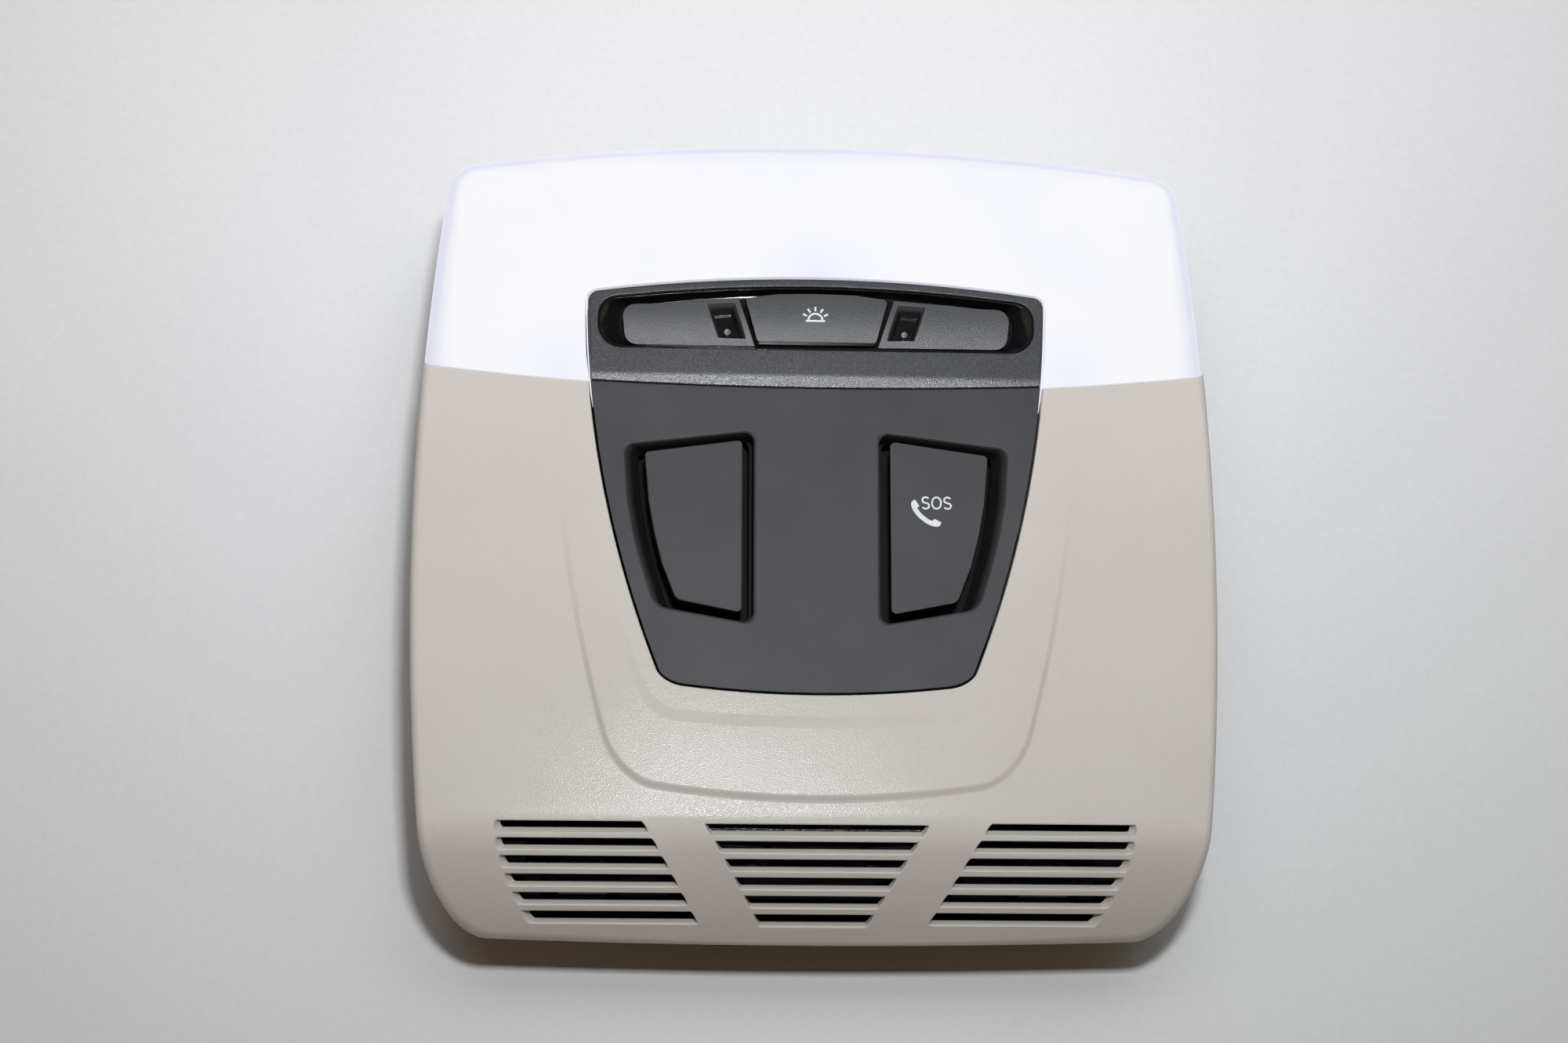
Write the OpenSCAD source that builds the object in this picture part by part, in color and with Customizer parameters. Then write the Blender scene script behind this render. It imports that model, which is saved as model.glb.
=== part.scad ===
// Overhead interior light for a car roof, with a lit lens, switch block, emergency call flap
// and louvred front cover.
// It lies on its back: +Z comes out of the visible face, +Y points to the lens, +X to the right.
// The origin is the middle of the footprint on the resting plane.

/* [Overall] */
// Half of the largest width of the cover
half_w = 100.8; // [97:0.1:104]
// Distance from the middle to the front edge of the cover
front_reach = 102.1; // [101:0.1:104]
// Distance from the middle to the rear edge of the lens
rear_reach = 102.1; // [99:0.1:106]
// Height of the visible face above the resting plane
face_h = 56; // [54:0.5:60]
// Height of the lower rim of cover and lens
rim_h = 32; // [31:0.5:33]
// Radius of the long bowed sides, seen in plan
side_r = 714; // [600:1:1200]
// Place along the length where the body is widest
waist_y = -5; // [-12:1:4]

/* [Front cover] */
// Wall thickness of the cover
cover_t = 2.4; // [1.8:0.1:2.8]
// Edge radius between face and side wall
cover_edge_r = 2.2; // [1.2:0.1:3]
// Distance ahead of the middle where the face starts to bend down
bend_reach = 72; // [70:0.5:74]
// Radius of the bend above the grilles
bend_r = 17.4; // [14:0.2:20]
// Slope of the face where the bend ends
bend_angle = 34; // [30:1:36]
// Radius of the slanted front below the bend
slant_r = 80; // [78:1:100]
// Height of the raised ridge around the switch panel
ridge_h = 0.9; // [0.4:0.1:1.4]
// Depth of the shallow step inside the ridge
ridge_dip = 0.45; // [0.1:0.05:0.8]
// Depth of the flange around the panel opening
flange_d = 6; // [5:0.5:7]
// Thickness of that flange
flange_t = 1.6; // [1.2:0.1:2]

/* [Grilles] */
// Number of slots in each grille
slot_count = 6; // [4:1:6]
// Spacing of the slots, seen in plan
slot_pitch = 4.08; // [3.9:0.02:4.2]
// Opening of a slot, seen in plan
slot_open = 2.6; // [2:0.1:2.9]
// Radius of the lip around each slot
slot_lip = 0.4; // [0.2:0.05:0.5]
// Tilt of the slots from upright
slot_tilt = 30; // [24:1:36]
// Distance ahead of the middle of the rear edge of the first slot
slot_reach = 75.1; // [74.6:0.1:76]
// The same distance for the side grilles
side_slot_reach = 74.6; // [74.4:0.1:76]
// Half width of the centre grille at its first slot
centre_grille_w = 27.5; // [24:0.1:29]
// Distance from the middle to the inner end of the side grilles
side_grille_in = 42.6; // [40:0.1:46]
// Distance from the middle to the outer end of the side grilles
side_grille_out = 78.4; // [74:0.1:80]

/* [Lens] */
// Wall thickness of the lens
lens_t = 2.2; // [1.6:0.1:2.8]
// Edge radius of the lens
lens_edge_r = 5; // [3:0.5:6]
// Radius of the rear corners, seen in plan
lens_corner_r = 8; // [7:0.5:12]
// Radius of the long bowed rear edge
lens_rear_r = 610; // [500:10:900]
// Distance behind the middle of the seam between lens and cover
seam_y = 34.6; // [33:0.1:36]
// Radius of that bowed seam
seam_r = 850; // [700:10:1200]

/* [Switch panel] */
// Half width of the panel at its rear
panel_w = 58.2; // [57:0.1:59]
// Radius of the panel's bowed sides
panel_side_r = 270; // [262:1:280]
// Distance behind the middle of the panel's rear edge
panel_rear = 64.5; // [64:0.1:66]
// Distance ahead of the middle of the panel's front edge
panel_front = 42.5; // [42:0.1:43.5]
// Wall thickness of the panel
panel_t = 2.4; // [2:0.1:2.6]
// Height of the switch block above the face
block_rise = 1.3; // [0.8:0.1:1.6]
// Distance behind the middle of the seam between block and lower panel
block_seam = 35.5; // [35:0.1:36]

/* [Buttons and flap] */
// Press travel of the dome light button
dome_travel = 1.2; // [0.8:0.1:1.3]
// Press travel of the emergency call button
call_travel = 1.0; // [0.6:0.1:1.1]
// Radius of the emergency call button
call_button_r = 7; // [5:0.2:7.6]
// Radius of the flap's hinge pin
hinge_pin_r = 0.75; // [0.6:0.05:0.8]
// Thickness of the flap
flap_t = 1.8; // [1.5:0.1:1.9]

/* [Rear housing] */
// Half width of the housing
housing_w = 84; // [82:0.5:86]
// Half length of the housing
housing_l = 84; // [82:0.5:85]
// Height of the housing wall
housing_h = 30; // [29:0.5:30]
// Wall thickness of the housing
housing_t = 2.4; // [2:0.1:3]
// Radius of the locating pins
locating_pin_r = 3; // [2.5:0.1:4]
// Length of the locating pins
locating_pin_l = 10; // [6:0.5:14]
// Thickness of the circuit boards
board_t = 1.6; // [1:0.1:1.6]

/* [Clearances] */
// Seam between neighbouring visible pieces
seam_gap = 0.3; // [0.2:0.05:0.4]
// Gap between the panel and the cover's opening
panel_gap = 0.65; // [0.5:0.05:0.8]
// Gap between the lens and the switch block
block_gap = 0.6; // [0.4:0.05:0.8]
// Running clearance of hinge and plunger fits
run_gap = 0.05; // [0.02:0.01:0.08]

/* [Hidden] */

beige = "#cdc6bc";
dark_grey = "#4a4a4c";
coarse_black = "#333335";
gloss_black = "#101012";
milky = "#eef1fb";

eps = 0.01;
front_y = -front_reach;
bend_y = -bend_reach;
block_h = face_h + block_rise;
cover_under = face_h - cover_t;

// Smooth step from 0 to 1
function ease(t) = let (c = max(0, min(1, t))) c * c * (3 - 2 * c);
// Rise of a bow of radius r at distance x from its apex
function bow(r, x) = r - sqrt(r * r - x * x);
function unit(v) = v / norm(v);
function mirrored(pts) = [for (p = pts) [-p[0], p[1]]];
function backwards(pts) = [for (i = [len(pts) - 1:-1:0]) pts[i]];

// Outline seen in plan
function side_x(y) = half_w - bow(side_r, y - waist_y);
function panel_x(y) = panel_w - bow(panel_side_r, panel_rear - 1.6 - y);
function seam_line(x) = seam_y + bow(seam_r, x);

// Height of the bare face, which falls away ahead of the bend
bend_run = bend_r * sin(bend_angle);
bend_drop = bend_r * (1 - cos(bend_angle));
function slant_at(y) = bend_y - y - bend_run + slant_r * sin(bend_angle);
function face_z(y) =
    y >= bend_y ? face_h
    : bend_y - y <= bend_run ? face_h - bow(bend_r, bend_y - y)
    : face_h - bend_drop - slant_r * cos(bend_angle) + sqrt(pow(slant_r, 2) - pow(slant_at(y), 2));
function face_slope(y) =
    y >= bend_y ? 0
    : bend_y - y <= bend_run ? asin((bend_y - y) / bend_r)
    : asin(slant_at(y) / slant_r);
function under_z(y) = face_z(y) - cover_t / cos(face_slope(y));

// Point of a U-shaped line that runs down a leg (s 0 to 1), round a corner (1 to 2) and to
// the middle of the front (2 to 3). leg gives the leg's x at a y. The corner is a curve drawn
// between the leg and the bowed front, and its pull makes it near to a quarter circle.
corner_pull = 0.56;
function u_point(leg, top_y, corner_y, corner_a, apex_y, apex_r, s) =
    let (
        end_x = leg(apex_y + bow(apex_r, leg(corner_y) - corner_a)) - corner_a,
        a = [leg(corner_y), corner_y],
        b = [end_x, apex_y + bow(apex_r, end_x)],
        lean = leg(corner_y + 0.5) - leg(corner_y - 0.5),
        run = end_x / sqrt(apex_r * apex_r - end_x * end_x),
        meet_y = (b[1] + run * (a[0] - b[0] - lean * a[1])) / (1 - run * lean),
        meet = [a[0] + lean * (meet_y - a[1]), meet_y],
        t = s - 1
    )
    s <= 1 ? let (y = top_y + (corner_y - top_y) * s) [leg(y), y]
    : s <= 2 ? pow(1 - t, 3) * a + 3 * t * pow(1 - t, 2) * (a + (meet - a) * corner_pull)
        + 3 * t * t * (1 - t) * (b + (meet - b) * corner_pull) + pow(t, 3) * b
    : let (x = end_x * (3 - s)) [x, apex_y + bow(apex_r, x)];

// The four U-shaped lines of the cover, from its outer edge to the panel opening
tip_y = seam_line(side_x(40)) + 2.2;
ridge_leg = function (y) panel_w + 7.8 - bow(360, seam_y + 10.4 - y);
dip_leg = function (y) panel_x(y) + panel_gap + 0.9 + 4.4 * ease((20 - y) / 50);
function outer_line(s) = u_point(function (y) side_x(y), tip_y, front_y + 26, 14, front_y, 2400, s);
function ridge_line(s) = u_point(ridge_leg, tip_y, bend_y + 19, 9, bend_y + 3.15, 260, s);
function dip_line(s) = u_point(dip_leg, tip_y, 1 - panel_front, 6, -7.5 - panel_front, 416, s);
function panel_line(s, grow, top_y) =
    u_point(function (y) panel_x(y) + grow, top_y, 5.5 - panel_front, 5,
        -panel_front - grow, 275 + grow, s);

// Closed loft through rings of equal length
module loft(rings) {
    n = len(rings[0]);
    m = len(rings);
    points = [for (r = rings) each r];
    sides = [for (i = [0:m - 2], j = [0:n - 1]) each let (
        a = i * n + j, b = i * n + (j + 1) % n, c = a + n, d = b + n) [[a, b, d], [a, d, c]]];
    first = [[for (j = [n - 1:-1:0]) j]];
    last = [[for (j = [0:n - 1]) (m - 1) * n + j]];
    polyhedron(points, concat(sides, first, last), convexity = 8);
}

// Polygon whose corners carry a radius each: corners are [x, y, radius]
function rounded(corners, steps = 5) =
    let (n = len(corners))
    [for (i = [0:n - 1]) let (
        p = [corners[i][0], corners[i][1]],
        r = corners[i][2])
        each (r == 0 ? [p] : let (
            q = corners[(i + n - 1) % n],
            w = corners[(i + 1) % n],
            u = unit([q[0], q[1]] - p),
            v = unit([w[0], w[1]] - p),
            half = acos(u * v) / 2,
            c = p + unit(u + v) * r / sin(half),
            a = p + u * r / tan(half) - c,
            b = p + v * r / tan(half) - c,
            a0 = atan2(a[1], a[0]),
            turn = (atan2(b[1], b[0]) - a0 + 540) % 360 - 180)
            [for (k = [0:steps]) c + r * [cos(a0 + turn * k / steps), sin(a0 + turn * k / steps)]])];

module prism(points, z0, z1) {
    translate([0, 0, z0]) linear_extrude(z1 - z0) polygon(points);
}

module block(x0, x1, y0, y1, z0, z1) {
    translate([x0, y0, z0]) cube([x1 - x0, y1 - y0, z1 - z0]);
}

module both_sides() {
    children();
    mirror([1, 0, 0]) children();
}

// Front cover: a U-shaped shell with a raised ridge, an inner flange and three grilles
leg_steps = 11;
corner_steps = 9;
front_steps = 7;
half_path = concat(
    [for (i = [0:leg_steps - 1]) i / leg_steps],
    [for (i = [0:corner_steps - 1]) 1 + i / corner_steps],
    [for (i = [0:front_steps]) 2 + i / front_steps]);

function cover_section(s) =
    let (
        o = outer_line(s), rl = ridge_line(s), dl = dip_line(s),
        p = panel_line(s, panel_gap, tip_y),
        in1 = unit(rl - o), in2 = unit(dl - rl), in3 = unit(p - dl),
        rise = ridge_h * ease((25 - rl[1]) / 80),
        dip = ridge_dip * ease((5 - dl[1]) / 50),
        wide = min(1.6, norm(p - dl) * 0.5),
        edge = min(cover_edge_r, face_z(o[1]) - rim_h - 0.5),
        top = function (q, add) [q[0], q[1], face_z(q[1]) + add],
        low = function (q) [q[0], q[1], under_z(q[1])],
        wall = o + in1 * cover_t,
        well = p - in3 * flange_t,
        lip = face_h + rise - dip)
    concat(
        [[o[0], o[1], rim_h]],
        [for (a = [0, 30, 60, 90]) top(o + in1 * edge * (1 - cos(a)), -edge * (1 - sin(a)))],
        [for (f = [0.13, 0.23, 0.34, 0.45, 0.54, 0.62, 0.7, 0.77, 0.84, 0.91])
            top(o + (rl - o) * f, 0)],
        [for (k = [[-0.9, 0], [-0.3, 0.22], [0.3, 0.78], [0.9, 1]]) top(rl + in2 * k[0], rise * k[1])],
        [for (f = [0.35, 0.65]) top(rl + (dl - rl) * f, rise)],
        [for (k = [[-1, 0], [-0.3, 0.25], [0.3, 0.75], [1, 1]])
            top(dl + (k[0] < 0 ? in2 : in3) * wide * k[0], rise - dip * k[1])],
        [top(p - in3 * 0.35, rise - dip), [p[0], p[1], lip - 0.35]],
        [[p[0], p[1], face_h - flange_d], [well[0], well[1], face_h - flange_d]],
        [for (f = [0, 0.15, 0.3, 0.45, 0.54, 0.62, 0.7, 0.78, 0.86, 0.93, 1])
            low(well + (wall - well) * f)],
        [[wall[0], wall[1], rim_h]]);

function cover_rings() =
    let (left = [for (s = half_path) [for (q = cover_section(s)) [-q[0], q[1], q[2]]]],
        n = len(left))
    concat(left, [for (i = [n - 2:-1:0]) [for (q = left[i]) [-q[0], q[1], q[2]]]]);

// Region of the lens in plan, with its notch for the panel, shrunk by grow where it is negative
function lens_region(grow) =
    let (
        rear = block_rear(block_gap - grow),
        seam_in = panel_w + 7.8,
        seam_out = half_w - 10.8,
        seam = [for (f = [0:0.25:1]) let (x = seam_in + (seam_out - seam_in) * f)
            [x, seam_line(x) - grow, 0]],
        corner = [side_x(40) - 0.5, seam_line(side_x(40)) - grow, 4],
        outer = [[half_w + 10, rear_reach - 18, 0], [half_w + 10, rear_reach + 10, 0]],
        neck = [[panel_x(seam_y) + block_gap - grow, seam_line(panel_w) - grow, 0]],
        right = concat(neck, seam, [corner], outer))
    concat(
        rounded(concat(right, backwards([for (p = right) [-p[0], p[1], p[2]]])), 6),
        backwards(rear));

// Rear edge of the switch block with its two corners and sides, from right to left
function block_rear(grow) =
    let (
        corner_x = panel_x(panel_rear - 3) + grow,
        rear_y = function (x) panel_rear + grow - bow(397, x),
        side = [for (d = [20.5, 14.5, 8.5]) [panel_x(panel_rear - d) + grow, panel_rear - d, 0]],
        arc = [for (k = [6:-1:0]) let (x = (panel_w - 10.2) * k / 6) [x, rear_y(x), 0]],
        right = concat(side, [[corner_x, rear_y(corner_x), 3 + grow]], arc),
        all = concat(right, [for (i = [len(right) - 2:-1:0]) [-right[i][0], right[i][1], right[i][2]]]),
        lead = concat([[corner_x, 30, 0]], all, [[-corner_x, 30, 0]]),
        pts = rounded(lead, 5))
    [for (i = [1:len(pts) - 2]) pts[i]];

// Cutter of one slot: it follows the face with a rounded lip and goes down along the tilt
slot_reach_in = 9;
function slot_ring(quad, turn, lift) =
    let (
        middle = (quad[0] + quad[2]) / 2,
        spread = slot_lip * (1 - sin(turn)),
        depth = slot_lip * (1 - cos(turn)))
    [for (q = quad) let (
        x = q[0] + spread * sign(q[0] - middle[0]),
        y = q[1] + spread * sign(q[1] - middle[1]) * cos(face_slope(q[1])),
        slope = face_slope(y))
        [x, y + depth * sin(slope), face_z(y) - depth * cos(slope) + lift]];
module slot(quad) {
    throat = slot_ring(quad, 90, 0);
    loft([
        slot_ring(quad, 15, 1),
        slot_ring(quad, 15, 0),
        slot_ring(quad, 50, 0),
        throat,
        [for (q = throat) q + slot_reach_in * [0, sin(slot_tilt), -cos(slot_tilt)]]]);
}

// Quad of slot k, counter-clockwise: x_in and x_out give its ends at a distance past the first
function slot_quad(k, reach, x_in, x_out) =
    let (d0 = slot_pitch * k, d1 = d0 + slot_open)
    [[x_in(d1), -reach - d1], [x_out(d1), -reach - d1],
        [x_out(d0), -reach - d0], [x_in(d0), -reach - d0]];
grille_lean = 0.61;
grille_bow = 33;
module grille_slots() {
    for (k = [0:slot_count - 1]) {
        slot(slot_quad(k, slot_reach, function (d) d * grille_lean - centre_grille_w,
            function (d) centre_grille_w - d * grille_lean));
        side_quad = slot_quad(k, side_slot_reach, function (d) side_grille_in - d * grille_lean,
            function (d) side_grille_out - d * d / (2 * grille_bow));
        slot(side_quad);
        slot([for (m = [1, 0, 3, 2]) [-side_quad[m][0], side_quad[m][1]]]);
    }
}

// Screw places that join cover and housing
screw_spots = [[housing_w - 12, 18], [housing_w - 18, 26 - housing_l]];
screw_r = 1.35;
screw_head_r = 3.2;
screw_seat = 22;
screw_l = 14;
boss_r = 4.2;
boss_bottom = 26;

// A round post or hole that stands upright at each of the given spots on both sides
module posts(spots, r, low, high) {
    both_sides() for (p = spots)
        translate([p[0], p[1], low]) cylinder(r = r, h = high - low, $fn = 40);
}

module front_cover() {
    color(beige) difference() {
        union() {
            loft(cover_rings());
            posts(screw_spots, boss_r, boss_bottom, cover_under + 1);
        }
        prism(lens_region(seam_gap / 2), rim_h - 1, face_h + 4);
        grille_slots();
        posts(screw_spots, screw_r + run_gap, boss_bottom - 1, screw_seat + screw_l + 1);
    }
}

// Dome lens: a pillow-edged shell that wraps round the switch block
function lens_ring(inset, z) =
    let (
        side_end = rear_reach - 24.1,
        side = [for (f = [0:0.25:1]) let (y = 30 + (side_end - 30) * f) [side_x(y) - inset, y, 0]],
        rear_y = function (x) rear_reach - inset - bow(lens_rear_r, x),
        corner_x = side_x(rear_y(half_w - 6)) - inset,
        corner = [corner_x, rear_y(corner_x), lens_corner_r - inset],
        arc = [for (k = [4:-1:0]) let (x = (half_w - 28.8) * k / 4) [x, rear_y(x), 0]],
        right = concat(side, [corner], arc),
        all = concat(right, [for (i = [len(right) - 2:-1:0]) [-right[i][0], right[i][1], right[i][2]]]))
    [for (p = rounded(all, 6)) [p[0], p[1], z]];

module lens_pillow(inset, z0, z1) {
    r = lens_edge_r - inset;
    loft(backwards(concat(
        [lens_ring(inset, z0)],
        [for (a = [0:18:90]) lens_ring(inset + r * (1 - cos(a)), z1 - r * (1 - sin(a)))])));
}

lens_web = face_h - 12;
module dome_lens() {
    color(milky) difference() {
        intersection() {
            lens_pillow(0, rim_h, face_h);
            prism(lens_region(-seam_gap / 2), rim_h - 1, face_h + 1);
        }
        intersection() {
            lens_pillow(lens_t, rim_h - 1, face_h - lens_t);
            union() {
                prism(lens_region(-lens_t - seam_gap), lens_web, face_h + 1);
                prism(lens_region(4), rim_h - 2, lens_web + eps);
            }
        }
    }
}

// White tray under the lens, with the boards that carry its light sources
tray_z = housing_h;
tray_floor = tray_z + 1.7;
tray_wall = 1.2;
module tray_part(inset, low, high) {
    intersection() {
        prism([for (p = lens_ring(inset, 0)) [p[0], p[1]]], low, high);
        prism(lens_region(0.3 - inset), low - 1, high + 1);
    }
}
module reflector_tray() {
    color("white") difference() {
        tray_part(lens_t + seam_gap, tray_z, lens_web);
        tray_part(lens_t + seam_gap + tray_wall, tray_floor, lens_web + 1);
    }
}

led_board_x = [panel_w + 5.8, half_w - 12.8];
led_board_y = [seam_y + 9.2, rear_reach - 14.1];
led_spots = [
    [led_board_x[1] - 12, led_board_y[0] + 6], [led_board_x[1] - 12, rear_reach - 34.1],
    [led_board_x[0] + 6, led_board_y[1] - 4]];
led_h = 2.2;
led_low = tray_floor + board_t;
module led_board() {
    x = led_board_x;
    y = led_board_y;
    prism(rounded([[x[0], y[0], 2], [x[1], y[0], 2], [x[1], y[1], 4], [x[0], y[1], 2]]),
        tray_floor, led_low);
}
module led_board_left() {
    color("seagreen") mirror([1, 0, 0]) led_board();
}
module led_board_right() {
    color("seagreen") led_board();
}
module dome_leds() {
    color("ivory") both_sides() for (p = led_spots)
        block(p[0] - 1.75, p[0] + 1.75, p[1] - 1.4, p[1] + 1.4, led_low, led_low + led_h);
}

// Switch panel outline, rear corners rounded, shrunk by inset
function panel_front_line(inset, top_y) =
    let (half = [for (s = [for (i = [0:8]) i / 8, for (i = [1:5]) 1 + i / 5, for (i = [1:4]) 2 + i / 4])
        panel_line(s, -inset, top_y)])
    concat([for (i = [0:len(half) - 2]) [half[i][0], half[i][1]]], backwards(mirrored(half)));
block_line = function (x, shift) block_seam + shift + bow(1300, x);
function lower_outline(inset) =
    let (top_y = block_line(57, 0))
    concat(panel_front_line(inset, top_y - inset),
        [for (x = [-45:15:45]) [x, block_line(x, -inset)]]);
function whole_outline(inset) =
    concat(panel_front_line(inset, block_seam - 1.5), backwards(block_rear(-inset)));
function block_outline(inset, back = 0) =
    let (end_y = block_line(panel_w - 1.2, inset + back), end_x = panel_x(end_y) - inset)
    concat([for (x = [-45:15:45]) [x, block_line(x, inset + back)]], [[end_x, end_y]],
        block_rear(-inset), [[-end_x, end_y]]);

// Outline of a tile and of the funnel around it; the four gaps are inner, rear, outer, front
tile_in = 18.6;
tile_out = panel_w - 14.8;
tile_rear = block_seam - 13.65;
tile_front = 20.05 - panel_front;
function tile_outline(gaps, r) =
    let (
        side = function (y) tile_out + gaps[2] - bow(120, tile_rear + 1.55 - y),
        rear = function (x) tile_rear + gaps[1] - 0.14 * (x - tile_in - 1.4),
        front = function (x) tile_front - gaps[3] + 0.2 * (x - tile_in - 0.4),
        out_rear = side(tile_rear - 3.85),
        out_front = side(tile_front + 3.45) - 0.6)
    rounded([
        [tile_in - gaps[0], rear(tile_in), r],
        [tile_in - gaps[0], front(tile_in), r],
        [out_front, front(out_front), 2 * r],
        each [for (f = [0.28, 0.46, 0.64]) let (y = tile_front + (tile_rear - tile_front) * f)
            [side(y), y, 0]],
        [out_rear, rear(out_rear), r]], 4);
funnel_top = [3, 2.3, 5.1, 2.9];
funnel_low = [2.5, 0.7, 1, 2.4];
// Rings of the soft mouth: how far each lies outside and below the mouth itself
funnel_soft = [[0.6, -eps], [0.15, 0.1], [-0.15, 0.4]];
well_z = face_h - 5.8;
panel_under = face_h - panel_t;

module funnel() {
    loft(concat(
        [for (ring = funnel_soft)
            [for (p = tile_outline([for (g = funnel_top) g + ring[0]], 2.4))
                [p[0], p[1], face_h - ring[1]]]],
        [[for (p = tile_outline(funnel_low, 1.2)) [p[0], p[1], well_z - 1]]]));
}

module fascia_panel() {
    color(dark_grey) difference() {
        union() {
            difference() {
                prism(lower_outline(0), well_z, face_h);
                prism(lower_outline(panel_t), well_z - 1, panel_under);
            }
            difference() {
                prism(whole_outline(0), face_h - 11, well_z);
                prism(whole_outline(2), face_h - 12, well_z + 1);
            }
            both_sides() prism(tile_outline([4.4, 3.6, 5.9, 4.2], 3), well_z, face_h - 1);
            both_sides() for (y = [28, 4, -20])
                block(panel_x(y) - 1, panel_x(y) + panel_gap + 0.8, y - 4, y + 4,
                    face_h - flange_d - 2.4, face_h - flange_d - 0.2);
        }
        both_sides() funnel();
    }
}

// Switch block: coarse textured upper part of the panel, open for the bezel
bay_front = block_seam + 9.9;
bay_w = panel_w - 2.8;
bezel_mouth = rounded([
    [-bay_w, bay_front, 6], [bay_w, bay_front, 6], [bay_w, panel_rear - 6, 5],
    for (k = [6:-1:-6]) let (x = (bay_w - 7.4) * k / 6) [x, panel_rear - 2.3 - bow(397, x), 0],
    [-bay_w, panel_rear - 6, 5]], 6);
bezel_top = block_h - 0.5;
bezel_floor = face_h - 3;
bezel_deck = face_h - 4.6;
// The outline drawn in by dx at its ends and by dy at its long edges
function drawn_in(pts, dx, dy) =
    [for (p = pts) let (share = min(1, abs(p[0]) / (bay_w - 15)))
        [p[0] - dx * sign(p[0]) * share, p[1] + dy * (p[1] > stem_y ? -1 : 1)]];

block_wall = 1.5;
block_roof = 2;
// The front edge rolls down gently, the other edges are rounded
roll_r = 4;
roll_angle = 24;
block_edge_r = 0.7;
block_seat = 0.1;
function block_ring(f) =
    let (
        a = roll_angle * f,
        inset = block_seat + block_edge_r * (1 - sin(90 * f)),
        outline = block_outline(inset, roll_r * (sin(roll_angle) - sin(a))),
        n = len(outline))
    [for (i = [0:n - 1]) let (front = i < 8 || i == n - 1)
        [outline[i][0], outline[i][1],
            block_h - (front ? roll_r * (1 - cos(a)) : block_edge_r * (1 - cos(90 * f)))]];
module switch_block() {
    color(coarse_black) difference() {
        loft(concat(
            [for (f = [0:0.2:1]) block_ring(f)],
            [[for (p = block_outline(block_seat)) [p[0], p[1], well_z]]]));
        prism(block_outline(block_seat + block_wall), well_z - 1, block_h - block_roof);
        prism(bezel_mouth, well_z, block_h + 1);
    }
}

board_posts = [[panel_w - 14.2, panel_rear - 8.5], [panel_w - 14.2, bay_front + 3.2]];
board_screw_r = 0.95;
stem_w = 5;
stem_l = 4;
button_front = bay_front + 2.1;
button_rear = panel_rear - 5.6;
stem_y = (button_front + button_rear) / 2;
switch_board_top = face_h - 9.8;
switch_board_low = switch_board_top - board_t;
module gloss_bezel() {
    color(gloss_black) difference() {
        union() {
            prism(drawn_in(bezel_mouth, 0.15, 0.15), bezel_floor - 0.2, bezel_top);
            prism(drawn_in(bezel_mouth, -0.45, -0.25), bezel_deck, block_h - block_roof - 0.1);
            posts(board_posts, 2, switch_board_top, bezel_deck + 0.5);
        }
        loft([
            [for (p = drawn_in(bezel_mouth, 0.6, 0.5)) [p[0], p[1], bezel_top + eps]],
            [for (p = drawn_in(bezel_mouth, 3, 0.9)) [p[0], p[1], pipe_top]],
            [for (p = drawn_in(bezel_mouth, 5, 1)) [p[0], p[1], bezel_floor]]]);
        block(-stem_w - 0.15, stem_w + 0.15, stem_y - stem_l - 0.15, stem_y + stem_l + 0.15,
            bezel_deck - 1, bezel_top + 1);
        posts(board_posts, board_screw_r + run_gap, switch_board_top - 1, bezel_deck);
        posts([[pipe_x, pipe_y]], pipe_r + run_gap, bezel_deck - 1, bezel_top + 1);
    }
}

// Fixed trims beside the button, each with a funnel-shaped port at its inner end
pipe_x = 22.6;
pipe_y = bay_front + 5.3;
pipe_r = 0.8;
pipe_top = bezel_floor + 1.4;
trim_top = block_h - 0.8;
trim_front = bay_front + 1.2;
trim_rear = panel_rear - 5.35;
button_gap = 0.35;
button_side = function (y) 15.1 + (y - button_front) * 0.27;
trim_edge = rounded([
    [button_side(trim_front) + button_gap, trim_front, 0],
    [bay_w - 6.9, trim_front, 3.2], [bay_w - 5.9, trim_rear - 2.05, 3.2],
    [bay_w - 13.4, trim_rear - 1.85, 0], [bay_w - 21.4, trim_rear - 1.05, 0],
    [bay_w - 29.4, trim_rear - 0.45, 0],
    [button_side(trim_rear) + button_gap, trim_rear, 0]], 5);
port_mouth = [
    [17.7, trim_front + 1.7], [25.1, trim_front + 1.9],
    [28, trim_rear - 1.45], [20.9, trim_rear - 0.95]];
port_throat = [
    [19.3, trim_front + 2.6], [24.2, trim_front + 2.6],
    [26, trim_rear - 4.05], [21.6, trim_rear - 3.65]];

// Button and trims are crowned across the unit, so their fronts catch the light
crown_r = 51;
crown_y = bay_front + 9.2;
module crowned(top) {
    intersection() {
        children();
        translate([-bay_w, crown_y, top - crown_r]) rotate([0, 90, 0])
            cylinder(r = crown_r, h = 2 * bay_w, $fn = 180);
    }
}

module trim() {
    difference() {
        crowned(trim_top) prism(trim_edge, bezel_floor, trim_top + 1);
        loft([
            [for (p = port_mouth) [p[0], p[1], trim_top + eps]],
            [for (p = port_throat) [p[0], p[1], trim_top - 2.4]],
            [for (p = port_throat) [p[0], p[1], bezel_floor - 1]]]);
    }
}
module trim_left() {
    color(coarse_black) mirror([1, 0, 0]) trim();
}
module trim_right() {
    color(coarse_black) trim();
}
module light_pipe() {
    translate([pipe_x, pipe_y, switch_board_top])
        cylinder(r = pipe_r, h = pipe_top - switch_board_top, $fn = 24);
}
module light_pipe_left() {
    color("white") mirror([1, 0, 0]) light_pipe();
}
module light_pipe_right() {
    color("white") light_pipe();
}

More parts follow.
